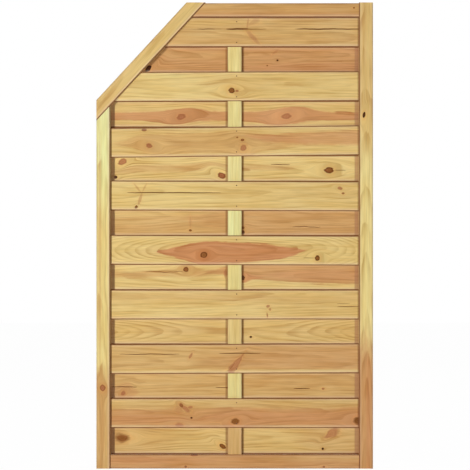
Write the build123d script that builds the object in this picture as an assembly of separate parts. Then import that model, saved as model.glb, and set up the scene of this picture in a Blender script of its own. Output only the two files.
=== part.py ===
from build123d import *

import math
import os

# Timber fence panel with one sloped top corner. A grooved frame holds thin slats, laid in turn on the front
# and on the back of an upright centre batten. Millimetres. X runs along the width, Y through the depth from
# the front (-Y) to the back (+Y), and Z up. The origin is the middle of the bottom edge.

# Outline of the panel
panel_width = 890.0
panel_height = 1500.0
slope_run = 290.0  # the slope takes this much off the top edge
slope_fall = 314.0  # and this much off the left side

# Frame timbers
stile_width = 45.0
stile_depth = 45.0
slope_rail_width = 45.0
rail_height = 45.0
rail_depth = 35.0
top_rail_drop = 2.0  # the top rail lies this far below the ends of the right stile and the slope rail
arris_radius = 3.0

# Grooves along the stiles and the slope rail, and the tongues of the frame joints that sit in them
groove_depth = 12.0
groove_play = 0.3  # on each side of a slat or tongue
tongue_end_gap = 1.0
slat_end_gap = 2.0

# Slats
slat_width = 95.0
slat_thickness = 7.0
slat_edge_radius = 2.0
least_overlap = 6.0
slat_rail_gap = 0.5

# How the front slats were nailed on, by number from the top: (drop in millimetres, tilt in degrees)
front_slat_set = {
    2: (0.0, 0.2),
    3: (2.5, 0.6),
    4: (2.5, -0.2),
    5: (2.5, -0.2),
    6: (2.5, 0.0),
    7: (2.0, 0.2),
    8: (2.0, 0.0),
}

# Centre batten
batten_width = 45.0
batten_thickness = 11.0
batten_edge_radius = 1.0

# Nails and screws are many-sided, with this many flats, and their diameters are measured across the flats
fastener_sides = 6

# Nails that hold each slat to the batten
nail_length = 16.0
nail_diameter = 2.0
nail_head_diameter = 4.4
nail_head_thickness = 0.8
nail_point_length = 2.0
nail_point_diameter = 0.6
nail_sink = 0.4
nail_edge_distance = 14.0
nail_side_step = 6.0

# Countersunk screws of the frame joints and of the batten's ends
screw_length = 90.0
screw_diameter = 4.5
screw_head_diameter = 9.0
screw_head_height = 4.0
screw_point_length = 6.0
screw_point_diameter = 1.0
screw_sink = 1.0
screw_spacing = 22.0
screw_side_step = -8.0
recess_reach = 5.0
recess_width = 1.2
recess_depth = 2.2
driver_clearance = 0.2

# Derived sizes
half_width = panel_width / 2
slope_length = math.hypot(slope_run, slope_fall)
slat_offset = (batten_thickness + slat_thickness) / 2
slat_layers = (-slat_offset, slat_offset)
groove_width = slat_thickness + 2 * groove_play
tongue_reach = groove_depth - tongue_end_gap
slat_reach = groove_depth - slat_end_gap
top_rail_middle = panel_height - top_rail_drop - rail_height / 2
bottom_rail_middle = rail_height / 2
infill_bottom = rail_height
infill_top = panel_height - top_rail_drop - rail_height
rows_height = infill_top - infill_bottom - 2 * slat_rail_gap
row_count = math.ceil((rows_height - slat_width) / (slat_width - least_overlap)) + 1
row_pitch = (rows_height - slat_width) / (row_count - 1)
top_row_middle = infill_top - slat_rail_gap - slat_width / 2


def slope_height(x, inset):
    """Height, at x, of the line that runs inside the slope's outer edge at the distance inset."""
    rise = (x + half_width) * slope_fall - inset * slope_length
    return panel_height - slope_fall + rise / slope_run


def slope_side(z, inset):
    """Place in x, at height z, of the line that runs inside the slope's outer edge at the distance inset."""
    run = (z - panel_height + slope_fall) * slope_run + inset * slope_length
    return -half_width + run / slope_fall


def front_prism(outline, thickness, middle=0.0):
    """Block with the front outline given as (x, z) points, its thickness centred on y = middle."""
    face = Plane.XZ * make_face(Polyline(*outline, close=True))
    return Pos(0, middle, 0) * extrude(face, thickness / 2, both=True)


def inside_frame(reach):
    """Block through the whole depth that ends at reach past the inner edges of both stiles and the slope."""
    left = -half_width + stile_width - reach
    right = half_width - stile_width + reach
    inset = slope_rail_width - reach
    outline = [
        (left, 0),
        (right, 0),
        (right, panel_height),
        (slope_side(panel_height, inset), panel_height),
        (left, slope_height(left, inset)),
    ]
    return front_prism(outline, stile_depth)


def pin(steps):
    """Many-sided pin along Z from the origin, in steps of (diameter at the start, at the end, length)."""
    body = Part()
    start = 0.0
    for first, last, length in steps:
        section = Pos(0, 0, start) * RegularPolygon(first / 2, fastener_sides, major_radius=False)
        taper = math.degrees(math.atan2((first - last) / 2, length))
        body += extrude(section, length, taper=taper)
        start += length
    return body


def grooved_section(width):
    """Section of a frame timber: outer face at x = 0, inner face at x = width, with a groove for each layer
    of slats."""
    section = Pos(width / 2, 0) * RectangleRounded(width, stile_depth, arris_radius)
    for layer in slat_layers:
        section -= Pos(width - groove_depth / 2, layer) * Rectangle(groove_depth, groove_width)
    return section


def make_left_stile():
    """Grooved stile, cut off along the slope rail, with a tongue in each of the slope rail's grooves."""
    inner = -half_width + stile_width
    cut = [
        (-half_width, 0),
        (inner, 0),
        (inner, slope_height(inner, slope_rail_width)),
        (-half_width, slope_height(-half_width, slope_rail_width)),
    ]
    stile = Pos(-half_width, 0, 0) * extrude(grooved_section(stile_width), panel_height)
    stile &= front_prism(cut, stile_depth)
    groove_floor = inner - groove_depth
    root = slope_rail_width + groove_depth
    tip = slope_rail_width - tongue_reach
    tongue = [
        (-half_width, slope_height(-half_width, root)),
        (groove_floor, slope_height(groove_floor, root)),
        (groove_floor, slope_height(groove_floor, tip)),
        (-half_width, slope_height(-half_width, tip)),
    ]
    for layer in slat_layers:
        stile += front_prism(tongue, slat_thickness, layer)
    return stile


def make_right_stile():
    """Grooved stile of the panel's full height."""
    stile = extrude(grooved_section(stile_width), panel_height)
    return Pos(half_width, 0, 0) * mirror(stile, about=Plane.YZ)


def make_slope_rail():
    """Grooved rail along the slope, cut upright at the left side and level at the top."""
    along = Vector(slope_run, 0, slope_fall)
    inward = Vector(slope_fall, 0, -slope_run)
    slope_middle = Vector(-half_width + slope_run / 2, 0, panel_height - slope_fall / 2)
    rail = extrude(grooved_section(slope_rail_width), slope_length, both=True)
    rail = Plane(origin=slope_middle, x_dir=inward, z_dir=along) * rail
    ends = [(-half_width, 0), (half_width, 0), (half_width, panel_height), (-half_width, panel_height)]
    return rail & front_prism(ends, stile_depth)


def make_rail(middle):
    """Level rail at the height middle, with a tongue at each end for each groove."""
    section = Plane.YZ * Pos(0, middle) * RectangleRounded(rail_depth, rail_height, arris_radius)
    rail = extrude(section, half_width, both=True) & inside_frame(0.0)
    for layer in slat_layers:
        tongue = Pos(0, layer, middle) * Box(panel_width, slat_thickness, rail_height)
        rail += tongue & inside_frame(tongue_reach)
    return rail


def make_batten():
    """Upright batten between the two rails, with the slats nailed to its front and back."""
    section = RectangleRounded(batten_width, batten_thickness, batten_edge_radius)
    return Pos(0, 0, infill_bottom) * extrude(section, infill_top - infill_bottom)


def make_slat(layer, middle, tilt):
    """Slat with rounded edges at the height middle, its ends cut to fit the grooves it runs into."""
    section = Plane.YZ * RectangleRounded(slat_thickness, slat_width, slat_edge_radius)
    slat = extrude(section, half_width, both=True)
    return Pos(0, layer, middle) * Rot(0, -tilt, 0) * slat & inside_frame(slat_reach)


def make_nail():
    """Nail driven along Z, its flat head's top at the origin."""
    shank_length = nail_length - nail_head_thickness - nail_point_length
    return pin(
        [
            (nail_head_diameter, nail_head_diameter, nail_head_thickness),
            (nail_diameter, nail_diameter, shank_length),
            (nail_diameter, nail_point_diameter, nail_point_length),
        ]
    )


def make_screw_body():
    """Countersunk screw driven along Z, without its cross recess, its head's top at the origin."""
    shank_length = screw_length - screw_head_height - screw_point_length
    return pin(
        [
            (screw_head_diameter, screw_diameter, screw_head_height),
            (screw_diameter, screw_diameter, shank_length),
            (screw_diameter, screw_point_diameter, screw_point_length),
        ]
    )


def with_way_in(body, diameter, depth):
    """Hole for a fastener: its own form, and a way in of the given diameter and depth above its head."""
    return body + Pos(0, 0, -depth) * pin([(diameter, diameter, depth)])


def screw_places():
    """Plane of each screw's head, Z the way it is driven, by the pair of timbers that the screw joins."""
    rightwards = Vector(1, 0, 0)
    leftwards = Vector(-1, 0, 0)
    upwards = Vector(0, 0, 1)
    downwards = Vector(0, 0, -1)
    side = half_width - screw_sink
    steps = (-screw_spacing / 2, screw_spacing / 2)
    stile_middle = -half_width + stile_width / 2
    head_radius = screw_head_diameter / 2
    sunk_on_end = screw_sink + head_radius * slope_fall / slope_run
    sunk_on_side = screw_sink + head_radius * slope_run / slope_fall
    slope_top = slope_height(stile_middle, 0.0) - sunk_on_end
    slope_left = slope_side(top_rail_middle, 0.0) + sunk_on_side
    top_edge = panel_height - top_rail_drop - screw_sink
    low = [bottom_rail_middle + step for step in steps]
    high = [top_rail_middle + step for step in steps]
    return {
        ("left_stile", "bottom_rail"): [Plane((-side, 0, z), z_dir=rightwards) for z in low],
        ("right_stile", "bottom_rail"): [Plane((side, 0, z), z_dir=leftwards) for z in low],
        ("right_stile", "top_rail"): [Plane((side, 0, z), z_dir=leftwards) for z in high],
        ("slope_rail", "left_stile"): [Plane((stile_middle, 0, slope_top), z_dir=downwards)],
        ("slope_rail", "top_rail"): [Plane((slope_left, 0, top_rail_middle), z_dir=rightwards)],
        ("top_rail", "centre_batten"): [Plane((screw_side_step, 0, top_edge), z_dir=downwards)],
        ("bottom_rail", "centre_batten"): [Plane((screw_side_step, 0, screw_sink), z_dir=upwards)],
    }


def make_slats(pieces):
    """Add every slat to pieces, nail it to the batten and return the nails."""
    nail = make_nail()
    nail_hole = with_way_in(nail, nail_head_diameter, 2 * nail_sink)
    nail_rise = slat_width / 2 - nail_edge_distance
    nail_face = slat_offset + slat_thickness / 2 - nail_sink
    nails = []
    for row in range(row_count):
        front = row % 2 == 0
        number = row // 2 + 1
        outward = -1 if front else 1
        name = f"{'front' if front else 'rear'}_slat_{number}"
        drop, tilt = front_slat_set.get(number, (0.0, 0.0)) if front else (0.0, 0.0)
        middle = top_row_middle - row * row_pitch - drop
        slat = make_slat(outward * slat_offset, middle, tilt)
        for rise in (-nail_rise, nail_rise):
            place = Plane((nail_side_step, outward * nail_face, middle + rise), z_dir=(0, -outward, 0))
            slat -= place * nail_hole
            pieces["centre_batten"] -= place * nail
            nails.append(place * nail)
        pieces[name] = slat
    return nails


def make_screws(pieces):
    """Cut every screw's hole in the two timbers that it joins and return the screws."""
    body = make_screw_body()
    way_in_depth = 2 * screw_head_diameter
    hole = with_way_in(body, screw_head_diameter + 2 * driver_clearance, way_in_depth)
    slot = Box(recess_reach, recess_width, 2 * recess_depth)
    screw = body - slot - Rot(0, 0, 90) * slot
    screws = []
    for (outer, inner), places in screw_places().items():
        for place in places:
            pieces[outer] -= place * hole
            pieces[inner] -= place * body
            screws.append(place * screw)
    return screws


def make_panel():
    """Every piece of the panel by name."""
    pieces = {
        "left_stile": make_left_stile(),
        "right_stile": make_right_stile(),
        "slope_rail": make_slope_rail(),
        "top_rail": make_rail(top_rail_middle),
        "bottom_rail": make_rail(bottom_rail_middle),
        "centre_batten": make_batten(),
    }
    nails = make_slats(pieces)
    screws = make_screws(pieces)
    pieces["slat_nails"] = Compound([nail.solid() for nail in nails])
    pieces["frame_screws"] = Compound([screw.solid() for screw in screws])
    return pieces


os.makedirs("parts", exist_ok=True)
for name, piece in make_panel().items():
    export_step(piece, f"parts/{name}.step")
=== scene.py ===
"""Timber fence panel with one sloped top corner, dressed as planed, pressure-treated pine.

X runs along the panel's width, Y from its front to its back and Z up. The functions work in millimetres, and the
properties and the finished meshes are in metres. Every timber also has axes of its own, in which its surface and
its grain are worked out: along its length, through its depth from front to back, and across its face.
"""

import math
from collections import namedtuple
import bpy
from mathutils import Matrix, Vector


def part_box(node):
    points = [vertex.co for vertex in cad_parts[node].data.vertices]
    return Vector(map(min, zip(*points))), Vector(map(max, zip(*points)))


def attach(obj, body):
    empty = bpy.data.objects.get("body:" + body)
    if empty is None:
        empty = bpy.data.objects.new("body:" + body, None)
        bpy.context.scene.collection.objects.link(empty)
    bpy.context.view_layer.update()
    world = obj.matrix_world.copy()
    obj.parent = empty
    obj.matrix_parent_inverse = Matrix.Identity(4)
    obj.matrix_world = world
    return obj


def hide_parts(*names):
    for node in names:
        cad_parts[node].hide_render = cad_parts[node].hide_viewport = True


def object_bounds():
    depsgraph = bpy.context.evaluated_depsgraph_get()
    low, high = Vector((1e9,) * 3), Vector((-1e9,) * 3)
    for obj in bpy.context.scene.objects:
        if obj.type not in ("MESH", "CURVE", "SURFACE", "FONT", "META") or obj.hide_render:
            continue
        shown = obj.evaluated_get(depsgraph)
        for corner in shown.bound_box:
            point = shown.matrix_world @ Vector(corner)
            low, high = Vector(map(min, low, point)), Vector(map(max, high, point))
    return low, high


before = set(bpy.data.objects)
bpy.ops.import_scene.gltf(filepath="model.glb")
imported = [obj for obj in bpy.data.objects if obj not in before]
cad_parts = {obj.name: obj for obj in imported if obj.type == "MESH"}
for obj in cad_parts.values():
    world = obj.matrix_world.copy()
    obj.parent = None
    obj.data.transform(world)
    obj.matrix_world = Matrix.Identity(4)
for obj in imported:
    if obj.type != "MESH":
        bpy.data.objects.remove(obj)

from types import SimpleNamespace

import bpy
import numpy as np

bl_info = {
    "name": "Sloped Fence Panel",
    "version": (1, 0, 0),
    "blender": (4, 5, 0),
    "location": "View3D > Sidebar > Fence Panel",
    "description": "Builds the boards, nails and screws of a slatted pine fence panel, and a studio to show it in",
    "category": "Object",
}

MM = 0.001
CAD_LOW, CAD_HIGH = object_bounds()
ROW_PAIRS = 8

# How finely the surfaces are divided
ARC_STEPS = 5
BOARD_GAP = 14.0
STATION_GAP = 18.0
KNEE_GAP = 4.0
LEAST_GAP = 0.12
SHARP_ANGLE = math.radians(32.0)
NAIL_SIDES = 16
SCREW_SIDES = 40

# A point that lies nearer to a surface than this, in millimetres, is on it
TOUCH = 1e-3


def span(node):
    """Size of a CAD node in millimetres along x, y and z."""
    low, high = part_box(node)
    return (high - low) / MM


def middle(node):
    """Middle of a CAD node's box in millimetres."""
    low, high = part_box(node)
    return (high + low) / 2 / MM


def screen(red, green, blue):
    """Linear colour of a screen colour given from 0 to 255."""
    share = np.array([red, green, blue]) / 255.0
    return tuple(np.where(share <= 0.04045, share / 12.92, ((share + 0.055) / 1.055) ** 2.4))


def length(name, description, millimetres):
    """Property for a length, its default given in millimetres."""
    return bpy.props.FloatProperty(
        name=name, description=description, default=millimetres * MM, min=0.0, unit="LENGTH", subtype="DISTANCE"
    )


def colour(name, description, red, green, blue):
    """Property for a colour, its default given as a screen colour."""
    return bpy.props.FloatVectorProperty(
        name=name, description=description, default=screen(red, green, blue), size=3, min=0.0, max=1.0, subtype="COLOR"
    )


def power(name, description, watts):
    """Property for the power of a lamp."""
    return bpy.props.FloatProperty(name=name, description=description, default=watts, min=0.0, unit="POWER")


def fraction(name, description, default):
    """Property for a number from 0 to 1."""
    return bpy.props.FloatProperty(
        name=name, description=description, default=default, min=0.0, max=1.0, subtype="FACTOR"
    )


class FencePanelSizes(bpy.types.PropertyGroup):
    """Sizes of the panel's timbers and fasteners."""

    panel_width: length("Panel width", "Over both stiles", (CAD_HIGH.x - CAD_LOW.x) / MM)
    panel_height: length("Panel height", "From the ground to the right stile's top", span("right_stile").z)
    slope_run: length("Slope run", "How much the slope takes off the top edge", 290.0)
    slope_fall: length("Slope fall", "How much the slope takes off the left side", 314.0)
    stile_width: length("Frame width", "Width of stiles and slope rail from the front", span("right_stile").x)
    stile_depth: length("Frame depth", "Depth of the stiles and the slope rail", span("right_stile").y)
    rail_height: length("Rail height", "Height of the level rails", span("bottom_rail").z)
    rail_depth: length("Rail depth", "Depth of the level rails", span("bottom_rail").y)
    arris_radius: length("Frame arris", "Rounding along the frame timbers", 3.0)
    groove_depth: length("Groove depth", "Depth of the grooves that take the slats", 12.0)
    groove_play: length("Groove play", "Play on each side of a slat in its groove", 0.3)
    tongue_reach: length("Tongue reach", "How far a rail's tongue goes into the groove", 11.0)
    slat_reach: length("Slat reach", "How far a slat's end goes into the groove", 10.0)
    slat_width: length("Slat width", "Width of a slat seen from the front", span("rear_slat_4").z)
    slat_thickness: length("Slat thickness", "Thickness of a slat", span("rear_slat_4").y)
    slat_edge: length("Slat edge", "Rounding along a slat", 2.0)
    batten_width: length("Batten width", "Width of the centre batten", span("centre_batten").x)
    batten_thickness: length("Batten thickness", "Thickness of the centre batten", span("centre_batten").y)
    batten_edge: length("Batten edge", "Rounding along the batten", 1.0)
    nail_length: length("Nail length", "Length of a slat nail", 16.0)
    nail_head: length("Nail head", "Diameter of a nail's head", 4.4)
    nail_shank: length("Nail shank", "Diameter of a nail", 2.0)
    nail_sink: length("Nail sink", "How far a nail's head lies below the slat's face", 0.4)
    nail_edge_distance: length("Nail edge distance", "From a slat's long edge to its nail", 14.0)
    nail_side_step: length("Nail side step", "From the batten's middle line to the nails", 6.0)
    screw_length: length("Screw length", "Length of a frame screw", 90.0)
    screw_head: length("Screw head", "Diameter of a screw's head", 9.0)
    screw_shank: length("Screw shank", "Diameter of a screw", 4.5)
    screw_sink: length("Screw sink", "How far a screw's head lies below the timber", 1.0)
    screw_spacing: length("Screw spacing", "Between the two screws of a corner joint", 22.0)
    screw_side_step: length("Screw side step", "From the batten's middle line to its end screws", 8.0)


class FencePanelColours(bpy.types.PropertyGroup):
    """Tones of the timber and of its marks."""

    pale: colour("Pale sapwood", "Palest, yellowish sapwood", 216, 191, 128)
    straw: colour("Straw", "Straw yellow sapwood", 211, 182, 120)
    honey: colour("Honey", "Honey tan wood", 203, 168, 111)
    tan: colour("Tan", "Orange tan wood", 199, 158, 102)
    russet: colour("Russet", "Orange brown wood", 195, 149, 99)
    heart: colour("Heartwood", "Red heartwood", 194, 138, 94)
    olive: colour("Treated green", "Yellow green tinge of fresh treatment", 219, 207, 143)
    mint: colour("Fresh green", "Pale green tinge of fresh treatment", 221, 221, 160)
    lemon: colour("Yellow", "Clear yellow sapwood", 221, 203, 138)
    knot_red: colour("Red knot", "Body of a live knot", 172, 105, 70)
    knot_dark: colour("Dark knot", "Body of a dead knot", 136, 84, 34)
    check_brown: colour("Check", "Inside of a drying check", 104, 56, 22)
    # Dark brown of the arris lines, partly dirt and partly painted shade in the seams between the parts
    grime_brown: colour("Edge dirt and seam shade", "Soiled arrises", 124, 75, 42)
    # Pale colour that paints a highlight along the rounded edges
    edge_highlight: colour("Painted edge highlight", "Pale strip of painted highlight beside the dark arris lines", 230, 203, 174)
    # Colour that paints the shade which the stiles cast on the rear slats near their ends
    end_shade_tint: colour("End shade", "Slats near the stiles", 178, 131, 98)
    nail_steel: colour("Nail steel", "Bare steel of the nails", 150, 120, 84)
    nail_rust: colour("Nail rust", "Rust on the nails", 104, 66, 38)
    screw_zinc: colour("Screw zinc", "Zinc plating of the screws", 206, 196, 160)
    screw_dull: colour("Dull screw", "Dulled plating of the screws", 140, 112, 70)


class FencePanelStage(bpy.types.PropertyGroup):
    """Camera, lamps and floor of the studio."""

    camera_distance: length("Camera distance", "From the panel's front to the camera", 12000.0)
    camera_height: length("Camera height", "Height of the camera and of the point it looks at", 751.8)
    camera_side: length("Camera side step", "How far the camera stands right of the panel's middle", 1.0)
    lens: bpy.props.FloatProperty(name="Lens", description="Focal length in millimetres", default=285.7, min=1.0)
    lamp_side: length("Lamp side step", "How far each front lamp stands to the side", 3900.0)
    lamp_distance: length("Lamp distance", "How far each front lamp stands before the panel", 6700.0)
    lamp_width: length("Lamp width", "Width of each front lamp", 300.0)
    back_lamp_side: length("Back lamp side step", "How far each back lamp stands to the side", 5600.0)
    back_lamp_distance: length("Back lamp distance", "How far each back lamp stands behind the panel", 5200.0)
    back_lamp_width: length("Back lamp width", "Width of each back lamp", 1600.0)
    lamp_height: length("Lamp height", "Height of the middle of each upright lamp", 850.0)
    lamp_tall: length("Lamp tallness", "Upright size of each upright lamp", 1600.0)
    top_lamp_height: length("Top lamp height", "Height of the lamp over the panel", 4500.0)
    top_lamp_back: length("Top lamp step back", "How far behind the panel the top lamp hangs", 900.0)
    top_lamp_size: length("Top lamp size", "Side of the square top lamp", 1700.0)
    key_power: power("Key", "Front left lamp", 411.0)
    fill_power: power("Fill", "Front right lamp", 130.0)
    back_power: power("Back", "Each lamp behind the panel", 290.0)
    top_power: power("Top", "Lamp over the panel", 45.0)
    ambient: fraction("Ambient", "Light from all round", 0.06)
    floor_size: length("Floor size", "Side of the square floor", 40000.0)
    floor_glow: fraction("Floor white", "Share of plain white in the floor as the camera sees it", 0.985)


def millimetres(group):
    """The lengths of a property group as plain numbers in millimetres."""
    return SimpleNamespace(**{name: getattr(group, name) / MM for name in group.__annotations__})


# Shapes

Timber = namedtuple("Timber", "name centre turn width depth low high")
Timber.__doc__ = """A timber's place: the middle of its axes, their turn about Y, its size across and through, and the
lines in the panel's face, each a point and a normal, at which its low and its high end are cut."""

Hole = namedtuple("Hole", "entry axis face radius depth")
Hole.__doc__ = """Round hole in a timber's own axes: where its axis meets the surface, the axis pointing in, which
coordinate is the same all over that surface, its radius, and the depth of its floor along the axis."""

Shell = namedtuple("Shell", "points quads caps")
Shell.__doc__ = "Closed surface: its points, its four-sided faces and the many-sided faces that close its ends."


def timber_axes(turn):
    """Unit vectors along, through and across a timber that is turned about Y."""
    along = (math.cos(turn), 0.0, -math.sin(turn))
    across = (math.sin(turn), 0.0, math.cos(turn))
    return np.array([along, (0.0, 1.0, 0.0), across])


def to_panel(timber, local):
    """Points in the panel's axes: the timber's centre plus each coordinate times its axis."""
    return np.asarray(timber.centre) + local @ timber_axes(timber.turn)


def to_timber(timber, points):
    """Points in the timber's own axes: the offset from its centre measured along each axis."""
    return (np.asarray(points, float) - timber.centre) @ timber_axes(timber.turn).T


def rounded(corners, radii):
    """Closed polygon whose square corners become quarter arcs. An arc's middle lies one radius in from the corner
    along both sides, and its points go from the one side's direction to the other's by cosine and sine."""
    corners = np.asarray(corners, float)
    reach = np.asarray(radii, float)[:, None]
    back = np.roll(corners, 1, axis=0) - corners
    ahead = np.roll(corners, -1, axis=0) - corners
    back /= np.linalg.norm(back, axis=1, keepdims=True)
    ahead /= np.linalg.norm(ahead, axis=1, keepdims=True)
    angle = np.linspace(0.0, math.pi / 2, ARC_STEPS + 1)[None, :, None]
    centre = (corners + reach * (back + ahead))[:, None, :]
    arcs = centre - reach[:, None] * (ahead[:, None] * np.cos(angle) + back[:, None] * np.sin(angle))
    points = arcs.reshape(-1, 2)
    apart = np.linalg.norm(points - np.roll(points, -1, axis=0), axis=1)
    return points[apart > LEAST_GAP]


def spaced(values):
    """Sorted values, without those that lie closer than the least gap behind the one before."""
    values = np.unique(values)
    return values[np.concatenate([[True], np.diff(values) > LEAST_GAP])]


# A side runs along a coordinate when this share of its length does
NEARLY_ALL = 0.9


def divided(loop, marks):
    """Closed polygon with points added along its sides, one for each board gap and one wherever a side passes a
    mark. A point on a side is its start plus a share of the way to its end. marks holds the marked values of the
    polygon's two coordinates, which count on the sides that run nearly along that coordinate."""
    parts = []
    for start, end in zip(loop, np.roll(loop, -1, axis=0)):
        way = end - start
        far = np.linalg.norm(way)
        places = [np.linspace(0.0, far, math.ceil(far / BOARD_GAP) + 1)[:-1]]
        for axis, values in enumerate(marks):
            if abs(way[axis]) > NEARLY_ALL * far and len(values):
                passed = (np.asarray(values) - start[axis]) / way[axis] * far
                places.append(passed[(passed > LEAST_GAP) & (passed < far - LEAST_GAP)])
        parts.append(start + spaced(np.concatenate(places))[:, None] / far * way)
    return np.concatenate(parts)


def cut_along(timber, across, lines):
    """Where lines cut a timber: for each across value, the along values at which the offset from the line's point,
    measured along the line's normal, is nought."""
    along_axis, _, across_axis = timber_axes(timber.turn)
    cuts = []
    for (x, z), (normal_x, normal_z) in lines:
        normal = np.array([normal_x, 0.0, normal_z])
        offset = np.array([x, 0.0, z]) - timber.centre
        cuts.append((offset @ normal - across * (across_axis @ normal)) / (along_axis @ normal))
    return np.array(cuts)


def carried(timber, loop, marks):
    """Section carried along a timber, as a grid of points in its own axes, one row for each station.

    The stations are even steps and the marked places. Past a knee near each end the rows are drawn out, in
    proportion to their distance from the knee, so that the last one lies on the cut end."""
    across, through = loop[:, 0], loop[:, 1]
    start = cut_along(timber, across, timber.low).max(axis=0)
    end = cut_along(timber, across, timber.high).min(axis=0)
    low_knee, high_knee = start.max() + KNEE_GAP, end.min() - KNEE_GAP
    first, last = start.min(), end.max()
    even = np.linspace(first, last, math.ceil((last - first) / STATION_GAP) + 1)
    marked = np.asarray(marks, float)
    marked = marked[(marked > low_knee) & (marked < high_knee)]
    station = spaced(np.concatenate([even, marked, [low_knee, high_knee]]))[:, None]
    low_share = np.clip((low_knee - station) / (low_knee - first), 0.0, 1.0)
    high_share = np.clip((station - high_knee) / (last - high_knee), 0.0, 1.0)
    along = np.clip(station, low_knee, high_knee)
    along = along + low_share * (start - low_knee) + high_share * (end - high_knee)
    return np.stack(np.broadcast_arrays(along, through, across), axis=-1)


# Square rings of the grid round a hole, in radii, and the lines that make them
HOLE_RINGS = np.array([0.0, 0.5, 0.96, 1.0, 1.3, 1.8])
HOLE_LINES = np.concatenate([-HOLE_RINGS[:0:-1], HOLE_RINGS])

# Share of a hole's radius within which points go down to its floor, and the least distance to divide by
HOLE_FLOOR = 0.98
LEAST_DISTANCE = 1e-9


def sink_hole(local, hole):
    """Grid with a round hole in one of its faces, its floor square to the hole's axis.

    Round the axis a point's square distance is the larger of its two offsets, and its true distance is their
    hypotenuse. Scaling the offset by the one over the other turns the grid's square rings into circles, fully
    inside the hole and ever less up to the patch's edge. Points inside are then moved along the axis to the
    floor."""
    axis = np.asarray(hole.axis, float)
    offset = local - hole.entry
    level = offset - (offset @ axis)[..., None] * axis
    side = np.array([1.0, 0.0, 0.0]) - axis[0] * axis
    side /= np.linalg.norm(side)
    square = np.maximum(np.abs(level @ side), np.abs(level @ np.cross(axis, side)))
    true = np.maximum(np.linalg.norm(level, axis=-1), LEAST_DISTANCE)
    patch = HOLE_RINGS[-1]
    share = np.clip((patch - square / hole.radius) / (patch - 1.0), 0.0, 1.0)
    offset = offset * (1.0 + share * (square / true - 1.0))[..., None]
    on_face = np.abs(local[..., hole.face] - hole.entry[hole.face]) < TOUCH
    inside = on_face & (square < HOLE_FLOOR * hole.radius)
    drop = np.where(inside, hole.depth - offset @ axis, 0.0)
    moved = hole.entry + offset + drop[..., None] * axis
    return np.where((on_face & (square < patch * hole.radius))[..., None], moved, local)


def hole_marks(holes, along_scale=1.0):
    """Marked places along, through and across a timber for the rings of its holes."""
    along = [hole.entry[0] + HOLE_LINES * hole.radius * along_scale for hole in holes]
    through = [hole.entry[1] + HOLE_LINES * hole.radius for hole in holes if hole.face == 2]
    across = [hole.entry[2] + HOLE_LINES * hole.radius for hole in holes if hole.face == 1]
    return [np.concatenate(part) if part else np.array([]) for part in (along, through, across)]


def volume(shell):
    """Volume that a shell encloses, by the triple products of its triangles, negative when it is inside out."""
    fans = [shell.quads[:, [0, 1, 2]], shell.quads[:, [0, 2, 3]]]
    fans += [np.stack([np.full(len(cap) - 2, cap[0]), cap[1:-1], cap[2:]], axis=1) for cap in shell.caps]
    a, b, c = np.moveaxis(shell.points[np.concatenate(fans)], 1, 0)
    return np.einsum("ij,ij->i", a, np.cross(b, c)).sum() / 6.0


def tube(grid):
    """Closed shell of a grid of points: each row is a ring, the rings are joined by quads, and the first and last
    ring are closed with a flat cap. A shell that is inside out is turned round."""
    rows, columns = grid.shape[:2]
    row = np.arange(rows - 1)[:, None] * columns
    column = np.arange(columns)
    after = np.roll(column, -1)
    corners = np.broadcast_arrays(row + column, row + after, row + columns + after, row + columns + column)
    quads = np.stack(corners, axis=-1).reshape(-1, 4)
    shell = Shell(grid.reshape(-1, 3), quads, [column[::-1], (rows - 1) * columns + column])
    if volume(shell) < 0:
        shell = Shell(shell.points, quads[:, ::-1], [cap[::-1] for cap in shell.caps])
    return shell


def prism(outline, front, back):
    """Shell with a straight front outline of (x, z) points, carried from y = front to y = back."""
    outline = np.asarray(outline, float)
    rings = [np.insert(outline, 1, y, axis=1) for y in (front, back)]
    return tube(np.array(rings))


def turned(profile, sides, head, axis, dent=None):
    """Surface of revolution: at each (radius, depth) of the profile, a ring of points round the axis at that depth
    below the head. dent adds to the depth by the two offsets from the axis."""
    radius, depth = np.asarray(profile, float).T[..., None]
    angle = np.linspace(0.0, 2 * math.pi, sides, endpoint=False)
    u, v = radius * np.cos(angle), radius * np.sin(angle)
    axis = np.asarray(axis, float)
    first = np.cross(axis, (0.0, 1.0, 0.0) if abs(axis[1]) < 0.5 else (1.0, 0.0, 0.0))
    second = np.cross(axis, first)
    sunk = depth + (dent(u, v) if dent else 0.0 * u)
    return tube(np.asarray(head) + u[..., None] * first + v[..., None] * second + sunk[..., None] * axis)


def make_piece(name, shells, material, slot, *nodes):
    """Object made of shells, in metres, that rides on the panel and stands for CAD nodes."""
    points, quads, caps, count = [], [], [], 0
    for shell in shells:
        points.append(shell.points)
        quads.append(shell.quads + count)
        caps += [cap + count for cap in shell.caps]
        count += len(shell.points)
    points, quads = np.concatenate(points) * MM, np.concatenate(quads)
    corners = np.concatenate([quads.ravel(), *caps])
    sizes = np.concatenate([np.full(len(quads), 4), [len(cap) for cap in caps]])
    mesh = bpy.data.meshes.new(name)
    mesh.vertices.add(count)
    mesh.vertices.foreach_set("co", points.astype(np.float32).ravel())
    mesh.loops.add(len(corners))
    mesh.loops.foreach_set("vertex_index", corners.astype(np.int32))
    mesh.polygons.add(len(sizes))
    mesh.polygons.foreach_set("loop_start", (np.cumsum(sizes) - sizes).astype(np.int32))
    mesh.polygons.foreach_set("use_smooth", np.ones(len(sizes), bool))
    mesh.update(calc_edges=True)
    if mesh.validate(verbose=True):
        raise RuntimeError(f"the mesh of {name} has faulty faces")
    mesh.set_sharp_from_angle(angle=SHARP_ANGLE)
    mesh.materials.append(material)
    piece = bpy.data.objects.new(name, mesh)
    bpy.context.scene.collection.objects.link(piece)
    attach(piece, "root")
    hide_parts(*nodes)


# Timbers of the panel


def slope_length(sizes):
    """Length of the slope's outer edge."""
    return math.hypot(sizes.slope_run, sizes.slope_fall)


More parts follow.
